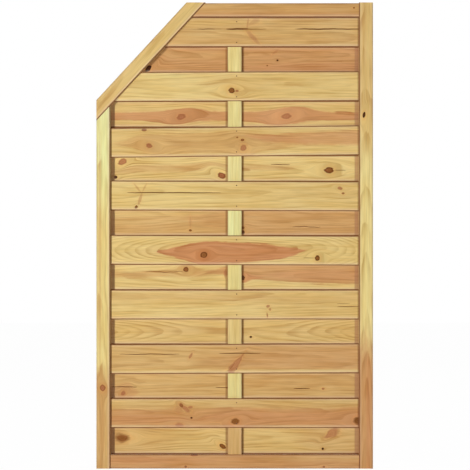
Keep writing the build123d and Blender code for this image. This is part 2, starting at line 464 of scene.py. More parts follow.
def layer_offset(sizes):
    """Distance of each layer of slats from the panel's middle, through its depth."""
    return (sizes.batten_thickness + sizes.slat_thickness) / 2


def slope_height(sizes, x, inset):
    """Height, at x, of the line that runs inside the slope's outer edge at the distance inset."""
    rise = (x + sizes.panel_width / 2) * sizes.slope_fall - inset * slope_length(sizes)
    return sizes.panel_height - sizes.slope_fall + rise / sizes.slope_run


def slope_side(sizes, z, inset):
    """Place in x, at height z, of the line that runs inside the slope's outer edge at the distance inset."""
    run = (z - sizes.panel_height + sizes.slope_fall) * sizes.slope_run + inset * slope_length(sizes)
    return -sizes.panel_width / 2 + run / sizes.slope_fall


def slope_line(sizes, inset):
    """Line inside the slope's outer edge, as a point and its normal."""
    left = -sizes.panel_width / 2
    return (left, slope_height(sizes, left, inset)), (sizes.slope_fall, -sizes.slope_run)


def upright_line(x):
    """Upright line at x."""
    return (x, 0.0), (1.0, 0.0)


def level_line(z):
    """Level line at the height z."""
    return (0.0, z), (0.0, 1.0)


# Turn of a timber that stands upright
UPRIGHT = -math.pi / 2

# How the front slats were nailed on, by number from the top: tilt in degrees, rising to the right
SLAT_TILTS = {2: 0.2, 3: 0.6, 4: -0.2, 5: -0.2, 7: 0.2}


def slat_timber(sizes, layer, number):
    """Place of a slat, its ends reaching into the grooves of the stiles and of the slope rail."""
    node = f"{layer}_slat_{number}"
    tilt = SLAT_TILTS.get(number, 0.0) if layer == "front" else 0.0
    centre = middle(node)
    side = sizes.panel_width / 2 - sizes.stile_width + sizes.slat_reach
    low = [upright_line(-side), slope_line(sizes, sizes.stile_width - sizes.slat_reach)]
    place = np.array([0.0, centre.y, centre.z])
    section = (sizes.slat_width, sizes.slat_thickness)
    return Timber(node, place, -math.radians(tilt), *section, low, [upright_line(side)])


def frame_timbers(sizes):
    """Places of the five frame timbers and the batten by name."""
    half = sizes.panel_width / 2
    side = half - sizes.stile_width / 2
    inner = half - sizes.stile_width
    top, low = middle("top_rail").z, middle("bottom_rail").z
    inward = sizes.stile_width / 2 / slope_length(sizes)
    slope_centre = (
        -half + sizes.slope_run / 2 + sizes.slope_fall * inward,
        0.0,
        sizes.panel_height - sizes.slope_fall / 2 - sizes.slope_run * inward,
    )
    slope_turn = -math.atan2(sizes.slope_fall, sizes.slope_run)
    inner_slope = slope_line(sizes, sizes.stile_width)
    upright_middle = sizes.panel_height / 2
    ground, top_edge = level_line(0.0), level_line(sizes.panel_height)
    batten_low, batten_high = (level_line(corner.z / MM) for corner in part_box("centre_batten"))
    rows = [
        ("left_stile", (-side, 0, upright_middle), UPRIGHT, [ground], [inner_slope]),
        ("right_stile", (side, 0, upright_middle), UPRIGHT, [ground], [top_edge]),
        ("slope_rail", slope_centre, slope_turn, [upright_line(-half)], [top_edge]),
        ("top_rail", (0, 0, top), 0.0, [inner_slope], [upright_line(inner)]),
        ("bottom_rail", (0, 0, low), 0.0, [upright_line(-inner)], [upright_line(inner)]),
        ("centre_batten", (0, 0, upright_middle), UPRIGHT, [batten_low], [batten_high]),
    ]
    rail = (sizes.rail_height, sizes.rail_depth)
    sections = {"top_rail": rail, "bottom_rail": rail, "centre_batten": (sizes.batten_width, sizes.batten_thickness)}
    stile = (sizes.stile_width, sizes.stile_depth)
    return {
        name: Timber(name, np.array(centre, float), turn, *sections.get(name, stile), first, last)
        for name, centre, turn, first, last in rows
    }


def plain_section(timber, radius):
    """Rectangle with rounded corners, as (across, through) points."""
    w, d = timber.width / 2, timber.depth / 2
    return rounded([(-w, -d), (w, -d), (w, d), (-w, d)], [radius] * 4)


def grooved_section(sizes, timber, inner):
    """Section of a frame timber with a groove for each layer of slats in its inner face, as (across, through)
    points. inner is +1 where the inner face lies at the high end of across and -1 where it lies at the low end."""
    w, d = timber.width / 2, timber.depth / 2
    half_groove = sizes.slat_thickness / 2 + sizes.groove_play
    near, far = layer_offset(sizes) - half_groove, layer_offset(sizes) + half_groove
    floor = w - sizes.groove_depth
    notch = [(w, -far), (floor, -far), (floor, -near), (w, -near)]
    other = [(w, near), (floor, near), (floor, far), (w, far)]
    corners = [(-w, -d), (w, -d), *notch, *other, (w, d), (-w, d)]
    radii = [sizes.arris_radius] * 2 + [0.0] * 8 + [sizes.arris_radius] * 2
    return rounded(corners, radii) * (inner, 1.0)


Screw = namedtuple("Screw", "outer head axis entry")
Screw.__doc__ = "A screw's place: the timber its head is in, its head's top, the way it is driven, and where it enters."


def screw_places(sizes):
    """Places of all screws: two at each corner joint of the stiles, one at each end of the slope rail and one at
    each end of the batten."""
    half = sizes.panel_width / 2
    top, low = middle("top_rail").z, middle("bottom_rail").z
    steps = (-sizes.screw_spacing / 2, sizes.screw_spacing / 2)
    stile_middle = -half + sizes.stile_width / 2
    head_radius = sizes.screw_head / 2
    sink = sizes.screw_sink
    end_sink = sink + head_radius * sizes.slope_fall / sizes.slope_run
    side_sink = sink + head_radius * sizes.slope_run / sizes.slope_fall
    over = slope_height(sizes, stile_middle, 0.0)
    beside = slope_side(sizes, top, 0.0)
    rail_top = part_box("top_rail")[1].z / MM
    batten_x = -sizes.screw_side_step
    rows = [("left_stile", (-half, 0, low + step), (1, 0, 0), sink) for step in steps]
    rows += [("right_stile", (half, 0, low + step), (-1, 0, 0), sink) for step in steps]
    rows += [("right_stile", (half, 0, top + step), (-1, 0, 0), sink) for step in steps]
    rows += [
        ("slope_rail", (stile_middle, 0, over), (0, 0, -1), end_sink),
        ("slope_rail", (beside, 0, top), (1, 0, 0), side_sink),
        ("top_rail", (batten_x, 0, rail_top), (0, 0, -1), sink),
        ("bottom_rail", (batten_x, 0, 0), (0, 0, 1), sink),
    ]
    places = []
    for outer, entry, axis, depth in rows:
        entry, axis = np.array(entry, float), np.array(axis, float)
        places.append(Screw(outer, entry + axis * depth, axis, entry))
    return places


# How much deeper and wider a screw's hole is than its head
SCREW_FLOOR = 0.7
SCREW_ROOM = 0.25


def screw_holes(sizes, timber):
    """Holes for the screw heads in one timber, each a little deeper and wider than the head."""
    axes = timber_axes(timber.turn)
    holes = []
    for screw in screw_places(sizes):
        if screw.outer == timber.name:
            depth = (screw.head - screw.entry) @ screw.axis + SCREW_FLOOR
            entry = to_timber(timber, screw.entry)
            holes.append(Hole(entry, axes @ screw.axis, 2, sizes.screw_head / 2 + SCREW_ROOM, depth))
    return holes


def nail_places(sizes, timber):
    """Heads of a slat's two nails, and the way they are driven, by the layer that the slat lies in."""
    outward = math.copysign(1.0, timber.centre[1])
    face = timber.centre[1] + outward * (sizes.slat_thickness / 2 - sizes.nail_sink)
    rise = sizes.slat_width / 2 - sizes.nail_edge_distance
    heads = [(sizes.nail_side_step, face, timber.centre[2] + step) for step in (-rise, rise)]
    return heads, np.array([0.0, -outward, 0.0])


# How much deeper and wider a nail's hole is than its head
NAIL_FLOOR = 0.3
NAIL_ROOM = 0.15

# Drying checks: the greatest depth and the width from which they have it, the grid lines beside them, the step between
# stations, the height and length of their waves, and how soon from their ends they sway fully
CHECK_DEPTH = 1.8
CHECK_FULL_WIDTH = 2.5
CHECK_LINES = np.array([-6.0, -1.3, -0.55, 0.0, 0.55, 1.3, 6.0])
CHECK_STATION = 6.0
CHECK_WAVES = ((1.0, 97.0), (0.45, 31.0))
CHECK_EASE = 3.0


def check_path(along, sway):
    """How far a check leaves its straight line: two waves of different length along the board, times its sway."""
    return sway * sum(height * np.sin(2 * math.pi * along / wave) for height, wave in CHECK_WAVES)


def carve_checks(local, timber, checks):
    """Grid with the checks of one line carved into the board's front. The lines of the grid near it follow its
    path, and its middle line goes in by a depth that falls to nought, along a parabola, at both ends of each
    check."""
    along, through, across = np.moveaxis(local, -1, 0)
    starts, ends, lines, sways = np.transpose([check_in_timber(timber, check) for check in checks])
    share = np.clip((along[..., None] - starts) / (ends - starts), 0.0, 1.0)
    taper = 4 * share * (1 - share)
    wide = np.minimum(1.0, np.array([check.width for check in checks]) / CHECK_FULL_WIDTH)
    from_line = np.abs(across - lines[0])
    front = through < -timber.depth / 2 + TOUCH
    near = front & (from_line < CHECK_LINES[-2] + TOUCH)
    eased = np.minimum(1.0, CHECK_EASE * taper.max(axis=-1))
    core = np.clip(1.0 - from_line / CHECK_LINES[-2], 0.0, 1.0)
    sideways = np.where(near, check_path(along, sways[0]) * eased, 0.0)
    inwards = np.where(near, CHECK_DEPTH * (wide * taper).max(axis=-1) * core, 0.0)
    return np.stack([along, through + inwards, across + sideways], axis=-1)


def check_in_timber(timber, check):
    """Start, end, line and sway of a check in its timber's own axes."""
    start = to_timber(timber, (check.start, 0.0, check.z))
    end = to_timber(timber, (check.end, 0.0, check.z))
    return start[0], end[0], (start[2] + end[2]) / 2, check.sway


def slat_shell(sizes, timber, look):
    """Slat with rounded edges, a sunk round hole for each nail and its drying checks carved in."""
    heads, drive = nail_places(sizes, timber)
    face = timber.centre[1] - drive[1] * sizes.slat_thickness / 2
    radius = sizes.nail_head / 2 + NAIL_ROOM
    depth = sizes.nail_sink + NAIL_FLOOR
    holes = [Hole(to_timber(timber, (x, face, z)), drive, 1, radius, depth) for x, _, z in heads]
    along, through, across = hole_marks(holes)
    lines = [check_in_timber(timber, check) for check in look.checks]
    across = np.concatenate([across, *[line + CHECK_LINES for _, _, line, _ in lines]])
    stations = [
        np.linspace(start, end, 2 + math.ceil((end - start) / CHECK_STATION)) for start, end, _, _ in lines
    ]
    loop = divided(plain_section(timber, sizes.slat_edge), (across, through))
    local = carried(timber, loop, np.concatenate([along, *stations]))
    for hole in holes:
        local = sink_hole(local, hole)
    for height in sorted({check.z for check in look.checks}):
        local = carve_checks(local, timber, [check for check in look.checks if check.z == height])
    return tube(to_panel(timber, local))


def frame_shell(sizes, timber, section):
    """Frame timber: its section carried between its cut ends, with a round hole for each screw head."""
    holes = screw_holes(sizes, timber)
    skew = max([1.0, *[1.0 / abs(hole.axis[2]) for hole in holes]])
    along, through, across = hole_marks(holes, skew)
    local = carried(timber, divided(section, (across, through)), along)
    for hole in holes:
        local = sink_hole(local, hole)
    return tube(to_panel(timber, local))


def tongues(sizes, outline):
    """A tongue with the given front outline in each layer of slats."""
    layer, half = layer_offset(sizes), sizes.slat_thickness / 2
    return [prism(outline, y - half, y + half) for y in (-layer, layer)]


# How far inside its rail a tongue starts
TONGUE_ROOT = 3.0


def rail_tongues(sizes, timber):
    """Tongues at both ends of a level rail, starting inside the rail."""
    low, high = timber.centre[2] - timber.width / 2, timber.centre[2] + timber.width / 2
    edge = sizes.panel_width / 2 - sizes.stile_width
    root, tip = edge - TONGUE_ROOT, edge + sizes.tongue_reach
    right = [(root, low), (tip, low), (tip, high), (root, high)]
    if timber.name == "top_rail":
        inset = sizes.stile_width
        corners = [(low, inset - sizes.tongue_reach), (low, inset + TONGUE_ROOT)]
        corners += [(high, inset + TONGUE_ROOT), (high, inset - sizes.tongue_reach)]
        left = [(slope_side(sizes, z, in_by), z) for z, in_by in corners]
    else:
        left = [(-tip, low), (-root, low), (-root, high), (-tip, high)]
    return tongues(sizes, left) + tongues(sizes, right)


def stile_tongues(sizes):
    """Tongues on the slope-cut top of the left stile."""
    left = -sizes.panel_width / 2
    right = left + sizes.stile_width - sizes.groove_depth
    root, tip = sizes.stile_width + sizes.groove_depth, sizes.stile_width - sizes.tongue_reach
    corners = [(left, root), (right, root), (right, tip), (left, tip)]
    return tongues(sizes, [(x, slope_height(sizes, x, in_by)) for x, in_by in corners])


# Look of each board, placed in millimetres on the panel's face

Knot = namedtuple("Knot", "x z long high turn tone flow soft taper", defaults=(0.0, 0.6, 1.8, 0.12, 0.0))
Knot.__doc__ = """Knot: its middle, its half sizes along and across, its turn in degrees, how dark it is from 0 to
1, how many times its own size the grain parts round it, how soft its edge is as a share of its size, and how much
slimmer its far end is than its middle."""

Band = namedtuple("Band", "tone x z long high ragged soft share", defaults=(8.0, 4.0, 1.0))
Band.__doc__ = """Band of another tone that follows the grain: its middle, its half length along the board, its half
height, how ragged and how soft its edge is in millimetres, and how strong it is."""

Check = namedtuple("Check", "start end z width sway", defaults=(1.6, 0.4))
Check.__doc__ = "Drying check along the grain: its ends, its height, its width and how far it sways."

Look = namedtuple(
    "Look",
    "tone bands knots checks pith rise ring late bow",
    defaults=((), (), (), (0.0, 45.0), 1.5, 5.0, 0.5, 0.0),
)
Look.__doc__ = """Look of a board: its main tone, its marks, where the tree's pith lies across and behind its middle,
how fast the pith moves away per 100 mm of length, the width of a year ring, how strong the late wood is, and how fast
the pith bows away with the square of the length in 100 mm."""

# Half length of a band that is longer than its board
FULL = 5000.0

LOOKS = {
    "front_slat_1": Look(
        "honey",
        bands=[Band("tan", 60, 1383, FULL, 12, 10, 8, 0.4), Band("straw", -160, 1438, 260, 16, 10, 8, 0.4)],
        knots=[
            Knot(42, 1434, 20, 2.5, 82, 0.12, 0.1, 0.5), Knot(60, 1437, 22, 7, 30, 0.04, 0.1, 0.5, -0.7),
            Knot(57, 1390, 26, 6.5, -46, 0.14, 0.1, 0.4),
        ],
        checks=[
            Check(-299, -40, 1415, 0.5), Check(-30, 104, 1415, 1.6), Check(190, 424, 1415, 1.8),
            Check(-122, -62, 1415, 2.2), Check(-28, 47, 1415, 5.6), Check(198, 352, 1415, 4.4),
            Check(289, 424, 1415, 2.8),
        ],
        pith=(-20, 70),
    ),
    "rear_slat_1": Look(
        "russet",
        bands=[Band("heart", 298, 1294, 300, 14, 10, 8, 0.5), Band("tan", -159, 1331, 240, 14, 10, 8, 0.5)],
        knots=[
            Knot(138, 1315, 3.4, 2.8, 0, 1.0), Knot(105, 1298, 2.2, 2.0, 0, 0.9),
            Knot(-279, 1288, 12, 7, 42, 1.0), Knot(131, 1342, 13, 3.5, 38, 0.05, 0.1, 0.4),
        ],
        pith=(15, 60), rise=1.5, ring=3.6, late=0.7,
    ),
    "front_slat_2": Look(
        "pale",
        bands=[
            Band("honey", 50, 1234, 170, 24, 14, 12, 0.45), Band("olive", -240, 1261, 90, 6, 6, 6, 0.5),
            Band("straw", 329, 1229, 360, 60, 14, 60, 0.6),
        ],
        knots=[Knot(-10, 1217, 11, 8.5, -6, 0.9, 2.4, 0.15), Knot(7, 1216, 6, 4, 0, 0.45, 1.2, 0.35)],
        pith=(5, 55), rise=-2.0,
    ),
    "rear_slat_2": Look(
        "straw",
        bands=[Band("heart", 0, 1135, FULL, 13, 7, 3, 0.85)],
        knots=[Knot(-173, 1133, 14, 8.5, 10, 0.38, 2.1, 0.18), Knot(166, 1135, 15, 9, 10, 0.34, 2.3, 0.2)],
        pith=(-4, 36), rise=0.6, ring=4.0, late=0.6,
    ),
    "front_slat_3": Look(
        "straw",
        bands=[
            Band("tan", -70, 1049, 340, 30, 12, 6, 0.75), Band("heart", 429, 1065, 410, 24, 10, 6, 0.65),
            Band("pale", 329, 1019, 260, 19, 8, 6, 0.6),
        ],
        knots=[
            Knot(-275, 1039, 9.5, 7, -10, 0.46, 2.6, 0.25), Knot(28, 1032, 9, 10, -20, 0.37, 1.8, 0.25),
            Knot(25, 1058, 5, 3.6, 0, 0.75), Knot(8, 1066, 3.2, 2.4, 0, 0.6),
            Knot(-292, 1090, 9, 4, 0, 0.6, 1.8, 0.25),
        ],
        pith=(-6, 40), rise=1.0,
    ),
    "rear_slat_3": Look(
        "pale",
        bands=[Band("tan", -238, 966, 330, 12, 8, 6, 0.7), Band("tan", 99, 968, 110, 9, 8, 6, 0.6)],
        knots=[
            Knot(-362, 988, 14, 9, 28, 0.42, 1.8, 0.22), Knot(-42, 943, 12.5, 9, -28, 0.55, 1.8, 0.18),
            Knot(-384, 938, 6, 5, 0, 1.0), Knot(304, 961, 14, 10, 0, 0.7, 2.2),
        ],
        checks=[Check(115, 179, 979, 2.2, 0.4), Check(320, 359, 961, 1.4, 0.3)],
        pith=(-8, 22), rise=3.4, ring=5.5, late=0.7,
    ),
    "front_slat_4": Look(
        "pale",
        bands=[Band("straw", 249, 880, 330, 60, 14, 60, 0.6)],
        knots=[
            Knot(-305, 866, 20, 4.5, 72, 0.16, 0.1, 0.35), Knot(-317, 842, 5.5, 4.5, 60, 0.85, 1.2),
            Knot(-313, 903, 16, 3, -52, 0.1, 0.1, 0.4), Knot(-290, 905, 14, 3, 62, 0.06, 0.1, 0.4),
            Knot(340, 902, 8, 5, -15, 0.4, 1.8, 0.3), Knot(349, 886, 5, 3.4, 0, 0.5, 1.8, 0.3),
        ],
        checks=[Check(-351, -40, 888, 3.2, 0.3)],
        pith=(10, 75),
    ),
    "rear_slat_4": Look(
        "honey",
        bands=[
            Band("tan", -199, 775, 300, 14, 10, 8, 0.5), Band("russet", 258, 800, 420, 60, 10, 20, 0.6),
            Band("straw", -328, 822, 260, 14, 8, 8, 0.7), Band("tan", -189, 806, 190, 8, 8, 6, 0.5),
        ],
        knots=[
            Knot(-143, 767, 4.2, 3.4, 0, 0.75), Knot(-143, 793, 3.5, 16, 0, 0.04, 0.1, 0.5),
            Knot(27, 775, 4.5, 4, 0, 0.9), Knot(27, 761, 5.5, 6.5, 0, 1.0),
        ],
        checks=[Check(185, 278, 778, 1.7, 1.2)],
        pith=(20, 50),
    ),
    "front_slat_5": Look(
        "pale",
        bands=[Band("honey", -14, 695, 320, 34, 8, 8, 0.35), Band("heart", -12, 695, 246, 30, 7, 2.5, 1.0)],
        knots=[Knot(-99, 687, 10.5, 9.5, 0, 0.8, 2.0), Knot(266, 677, 8.5, 8.5, 0, 0.9, 2.4)],
        checks=[Check(221, 257, 678, 1.2, 0.3)],
        pith=(-2, 20), rise=0.4, ring=5.0, late=0.65, bow=2.2,
    ),
    "rear_slat_5": Look(
        "pale",
        bands=[
            Band("tan", -348, 625, 170, 10, 8, 6, 0.75), Band("tan", -189, 634, 130, 8, 6, 5, 0.75),
            Band("tan", -84, 631, 80, 8, 6, 5, 0.7), Band("russet", 417, 635, 520, 42, 8, 4, 0.9),
            Band("heart", 298, 622, 210, 20, 8, 6, 0.45), Band("heart", 46, 615, 44, 5, 3, 3, 0.8),
        ],
        knots=[
            Knot(-157, 640, 8, 7.5, 0, 0.75, 2.2, 0.18), Knot(27, 614, 5.5, 8, 0, 1.0),
            Knot(-30, 628, 5, 13, 0, 0.25, 0.1, 0.4),
        ],
        checks=[Check(-288, -165, 633, 1.3, 1.4)],
        pith=(2, 26), rise=-3.2, ring=6.0,
    ),
    "front_slat_6": Look(
        "straw",
        bands=[
            Band("pale", -200, 506, 420, 22, 12, 12, 0.8), Band("honey", -160, 552, 420, 10, 8, 6, 0.55),
            Band("honey", 219, 546, 330, 10, 8, 6, 0.5),
        ],
        knots=[
            Knot(107, 522, 6, 4, 30, 0.35, 0.8, 0.3), Knot(114, 512, 4, 4.5, 0, 0.3, 0.8, 0.3),
            Knot(105, 493, 2.6, 8, 8, 0.4, 0.4, 0.3),
        ],
        checks=[Check(329, 403, 521, 1.8, 0.3), Check(329, 371, 531, 0.8, 0.3)],
        pith=(25, 70),
    ),
    "rear_slat_6": Look(
        "straw",
        bands=[
            Band("honey", -169, 444, 160, 15, 10, 10, 0.5), Band("honey", 238, 442, 260, 16, 10, 10, 0.35),
        ],
        knots=[Knot(52, 423, 4.2, 3.8, 0, 1.0)],
        pith=(-4, 46), rise=0.0, ring=6.5, late=0.75, bow=-2.1,
    ),
    "front_slat_7": Look(
        "honey",
        bands=[Band("russet", 329, 351, 420, 70, 20, 60, 0.75), Band("pale", 0, 311, FULL, 8, 5, 4, 0.75)],
        knots=[
            Knot(4, 336, 42, 10, 53, 0.26, 0.3, 0.15, 0.75), Knot(-6, 331, 22, 1.8, 51, 0.6, 0.1, 0.35),
            Knot(-142, 362, 10, 4, 60, 0.3, 0.4, 0.3),
        ],
        checks=[Check(-373, -175, 368, 2.0, 0.5), Check(-52, 86, 371, 2.6, 0.3)],
        pith=(-10, 80),
    ),
    "rear_slat_7": Look(
        "honey",
        bands=[Band("tan", 218, 279, 330, 26, 14, 14, 0.5), Band("russet", -367, 244, 60, 22, 8, 8, 0.7)],
        knots=[
            Knot(-360, 242, 8, 6, 50, 0.4, 1.8, 0.35), Knot(285, 256, 4, 3, 0, 0.4),
            Knot(-22, 259, 7, 3, 0, 0.35),
        ],
        checks=[
            Check(-399, -314, 262, 2.2, 0.4), Check(-62, -18, 260, 1.9, 0.3), Check(189, 244, 257, 2.6, 0.3),
        ],
        pith=(14, 65),
    ),
    "front_slat_8": Look(
        "honey",
        bands=[
            Band("straw", 0, 213, FULL, 12, 8, 8, 0.5), Band("russet", 0, 159, FULL, 30, 10, 5, 0.95),
            Band("heart", 200, 161, 360, 18, 8, 6, 0.5), Band("heart", -299, 159, 160, 14, 8, 6, 0.4),
            Band("pale", 0, 135, FULL, 4, 4, 3, 0.7),
        ],
        knots=[
            Knot(-171, 202, 8, 5.5, -50, 0.62, 1.4, 0.3), Knot(-158, 192, 17, 6.5, -34, 0.34, 0.8, 0.4),
            Knot(-143, 197, 8, 4, 10, 0.36, 0.5, 0.4), Knot(-178, 190, 14, 10, 0, 0.06, 0.5, 0.6),
            Knot(-139, 163, 3.4, 2.8, 0, 1.0), Knot(2, 151, 12.5, 9, 12, 0.86, 2.0, 0.3),
            Knot(-177, 140, 12, 6, 0, 0.25, 1.8, 0.4), Knot(397, 154, 15, 12, 0, 0.93, 1.8, 0.35),
        ],
        pith=(0, 45),
    ),
    "rear_slat_8": Look(
        "straw",
        bands=[Band("honey", -377, 95, 190, 60, 20, 40, 0.7), Band("honey", 397, 95, 200, 60, 20, 40, 0.8)],
        knots=[
            Knot(-362, 97, 22, 12.5, 0, 0.8, 1.7, 0.5, 0.3), Knot(-39, 71, 11.5, 7, -36, 0.85, 1.5),
            Knot(313, 112, 24, 12, 35, 0.3, 0.8, 0.3, -0.4), Knot(284, 63, 4, 3.6, 0, 1.0),
        ],
        pith=(6, 24), rise=2.4, ring=6.0, late=0.7,
    ),
    "slope_rail": Look(
        "straw",
        bands=[Band("tan", -395, 1165, 90, 30, 20, 20, 0.6), Band("pale", -270, 1325, 260, 10, 8, 8, 0.6)],
        pith=(12, 60),
    ),
    "top_rail": Look(
        "tan",
        bands=[Band("russet", 100, 1462, FULL, 8, 6, 6, 0.7), Band("honey", -50, 1490, 260, 7, 6, 6, 0.6)],
        knots=[Knot(384, 1483, 3, 2.4, 0, 0.7)],
        pith=(0, 60),
    ),
    "bottom_rail": Look(
        "russet",
        bands=[Band("heart", -260, 26, 220, 12, 8, 8, 0.4), Band("honey", 300, 33, 210, 8, 8, 8, 0.6)],
        knots=[Knot(-158, 6, 4, 3.2, 0, 0.7), Knot(287, 6, 4, 3, 0, 0.5), Knot(-130, 43, 12, 3, 0, 0.5)],
        pith=(8, 50),
    ),
    "left_stile": Look(
        "lemon",
        bands=[
            Band("mint", -422, 1150, 300, 90, 10, 80, 0.9), Band("honey", -434, 700, 420, 5, 5, 4, 0.7),
            Band("honey", -422, 60, 270, 90, 30, 40, 1.0), Band("russet", -428, 80, 230, 9, 8, 6, 0.4),
        ],
        knots=[Knot(-425, 260, 10, 9, 20, 0.45, 1.6)],
        pith=(10, 55), rise=1.0, ring=4.5,
    ),
    "right_stile": Look(
        "lemon",
        bands=[
            Band("straw", 422, 1350, 330, 90, 30, 60, 1.0), Band("honey", 416, 1420, 200, 7, 6, 5, 0.7),
            Band("russet", 422, 80, 350, 90, 30, 40, 1.0), Band("heart", 430, 130, 240, 7, 6, 5, 0.7),
        ],
        knots=[Knot(416, 1138, 9, 4.5, -8, 1.0, 2.2)],
        pith=(0, 24), rise=4.0, ring=5.5, late=0.75,
    ),
    "centre_batten": Look(
        "olive",
        bands=[
            Band("mint", 0, 800, 100, 90, 10, 40, 0.8), Band("lemon", 0, 1318, 130, 90, 10, 40, 0.6),
            Band("straw", 0, 441, 130, 90, 10, 40, 0.7), Band("honey", 0, 63, 160, 90, 10, 40, 1.0),
        ],
        pith=(4, 40), rise=1.0, ring=4.5, late=0.2,
    ),
}


# Materials


class Value:
    """Output of a shader node. Arithmetic with it adds Math nodes to its tree."""

    def __init__(self, wiring, socket):
        self.wiring = wiring
        self.socket = socket

    def __add__(self, other):
        return self.wiring.math("ADD", self, other)

    def __sub__(self, other):
        return self.wiring.math("SUBTRACT", self, other)

    def __rsub__(self, other):
        return self.wiring.math("SUBTRACT", other, self)

    def __mul__(self, other):
        return self.wiring.math("MULTIPLY", self, other)

    def __truediv__(self, other):
        return self.wiring.math("DIVIDE", self, other)

    def __pow__(self, other):
        return self.wiring.math("POWER", self, other)

    def __abs__(self):
        return self.wiring.math("ABSOLUTE", self)


class Wiring:
    """Adds nodes to one shader tree. An input is a number, a vector, a colour or another node's output."""

    def __init__(self, tree):
        self.tree = tree

    def feed(self, socket, value):
        """Link an output to a socket, or set the socket to a constant."""
        value = value.socket if isinstance(value, Value) else value
        if isinstance(value, bpy.types.NodeSocket):
            self.tree.links.new(value, socket)
        else:
            socket.default_value = value

    def node(self, kind, inputs, **settings):
        """New node with its settings made and its inputs fed, by name or by number."""
        node = self.tree.nodes.new("ShaderNode" + kind)
        for name, value in settings.items():
            setattr(node, name, value)
        for key, value in inputs.items():
            self.feed(node.inputs[key], value)
        return node

    def value(self, key, kind, inputs, **settings):
        """One output of a new node."""
        return Value(self, self.node(kind, inputs, **settings).outputs[key])

    def math(self, operation, *values):
        """Result of a Math node."""
        return self.value(0, "Math", dict(enumerate(values)), operation=operation)

    def larger(self, first, second):
        """The larger of two values."""
        return self.math("MAXIMUM", first, second)

    def smaller(self, first, second):
        """The smaller of two values."""
        return self.math("MINIMUM", first, second)

    def vector(self, operation, *values):
        """Result of a Vector Math node."""
        return self.value(0, "VectorMath", dict(enumerate(values)), operation=operation)

    def smooth(self, value, low, high):
        """Smooth step from 0 at low to 1 at high, either of which may be the larger."""
        inputs = {"Value": value, "From Min": low, "From Max": high}
        return self.value(0, "MapRange", inputs, interpolation_type="SMOOTHSTEP")

    def noise(self, place, stretch, seed, detail=2.0):
        """Noise at a place that is scaled separately along each axis."""
        inputs = {"Vector": self.vector("MULTIPLY", place, stretch), "W": seed, "Scale": 1.0, "Detail": detail}
        return self.value(0, "TexNoise", inputs, noise_dimensions="4D")

    def mix(self, share, first, second, blend="MIX"):
        """Share of the second colour mixed into the first."""
        return self.value(2, "Mix", {0: share, 6: first, 7: second}, data_type="RGBA", blend_type=blend)

    def tinted(self, share, colour, tint):
        """Colour multiplied by a tint, as far as the share says."""
        return self.mix(share, colour, tint, "MULTIPLY")

    def parts(self, vector):
        """The three coordinates of a vector."""
        return [Value(self, socket) for socket in self.node("SeparateXYZ", {0: vector}).outputs]

    def joined(self, x, y, z):
        """Vector of three coordinates."""
        return self.value(0, "CombineXYZ", {0: x, 1: y, 2: z})

    def far(self, x, y):
        """Hypotenuse of two lengths."""
        return self.value("Value", "VectorMath", {0: self.joined(x, y, 0.0)}, operation="LENGTH")

    def group(self, name, inputs):
        """Outputs of a shared node group by name."""
        outputs = self.node("Group", inputs, node_tree=bpy.data.node_groups[name]).outputs
        return {socket.name: Value(self, socket) for socket in outputs}


def new_group(name, inputs, outputs):
    """Shader node group with named sockets: its wiring, what it is given and where its results go."""
    tree = bpy.data.node_groups.new(name, "ShaderNodeTree")
    for direction, sockets in (("INPUT", inputs), ("OUTPUT", outputs)):
        for kind, labels in sockets.items():
            for label in labels:
                tree.interface.new_socket(label, in_out=direction, socket_type="NodeSocket" + kind)
    wiring = Wiring(tree)
    given = {socket.name: Value(wiring, socket) for socket in tree.nodes.new("NodeGroupInput").outputs}
    return wiring, given, tree.nodes.new("NodeGroupOutput").inputs


# How slim a knot may get at its far end, and how much the distance along a knot counts where the grain parts
LEAST_SLIMNESS = 0.25
FLOW_STRETCH = 0.6


def make_knot_group():
    """Knot: adds to the bend of the grain, which parts like water round a stone, and keeps the nearest knot's
    distance in knot sizes, its darkness and the softness of its edge."""
    places = ["Along", "Across", "Half Length", "Half Height", "Turn", "Darkness", "Flow", "Edge", "Taper"]
    kept = ["Bend", "Nearness", "Tone", "Softness"]
    inputs = {"Vector": ["Board"], "Float": ["Wobble", *kept, *places]}
    w, given, result = new_group("Knot", inputs, {"Float": kept})
    x, _, z = w.parts(given["Board"])
    dx, dz = x - given["Along"], z - given["Across"]
    cosine, sine = w.math("COSINE", given["Turn"]), w.math("SINE", given["Turn"])
    u = (dx * cosine + dz * sine) / given["Half Length"]
    v = (dz * cosine - dx * sine) / given["Half Height"]
    slim = w.larger(1.0 - u * given["Taper"], LEAST_SLIMNESS)
    uneven = w.far(u, v / slim) * (given["Wobble"] + 1.0)
    parted = w.far(u * FLOW_STRETCH, v) / given["Flow"]
    ease = w.larger(parted * parted, 1.0)
    w.feed(result["Bend"], given["Bend"] - dz / ease)
    nearer = w.math("LESS_THAN", uneven, given["Nearness"])
    w.feed(result["Nearness"], w.smaller(uneven, given["Nearness"]))
    for keep, own in (("Tone", "Darkness"), ("Softness", "Edge")):
        w.feed(result[keep], nearer * (given[own] - given[keep]) + given[keep])


# How bluntly a band ends, and how much further late wood and early wood reach out of it
BAND_BLUNTNESS = 2.4
LATE_OUTREACH = 0.6
EARLY_OUTREACH = -0.2


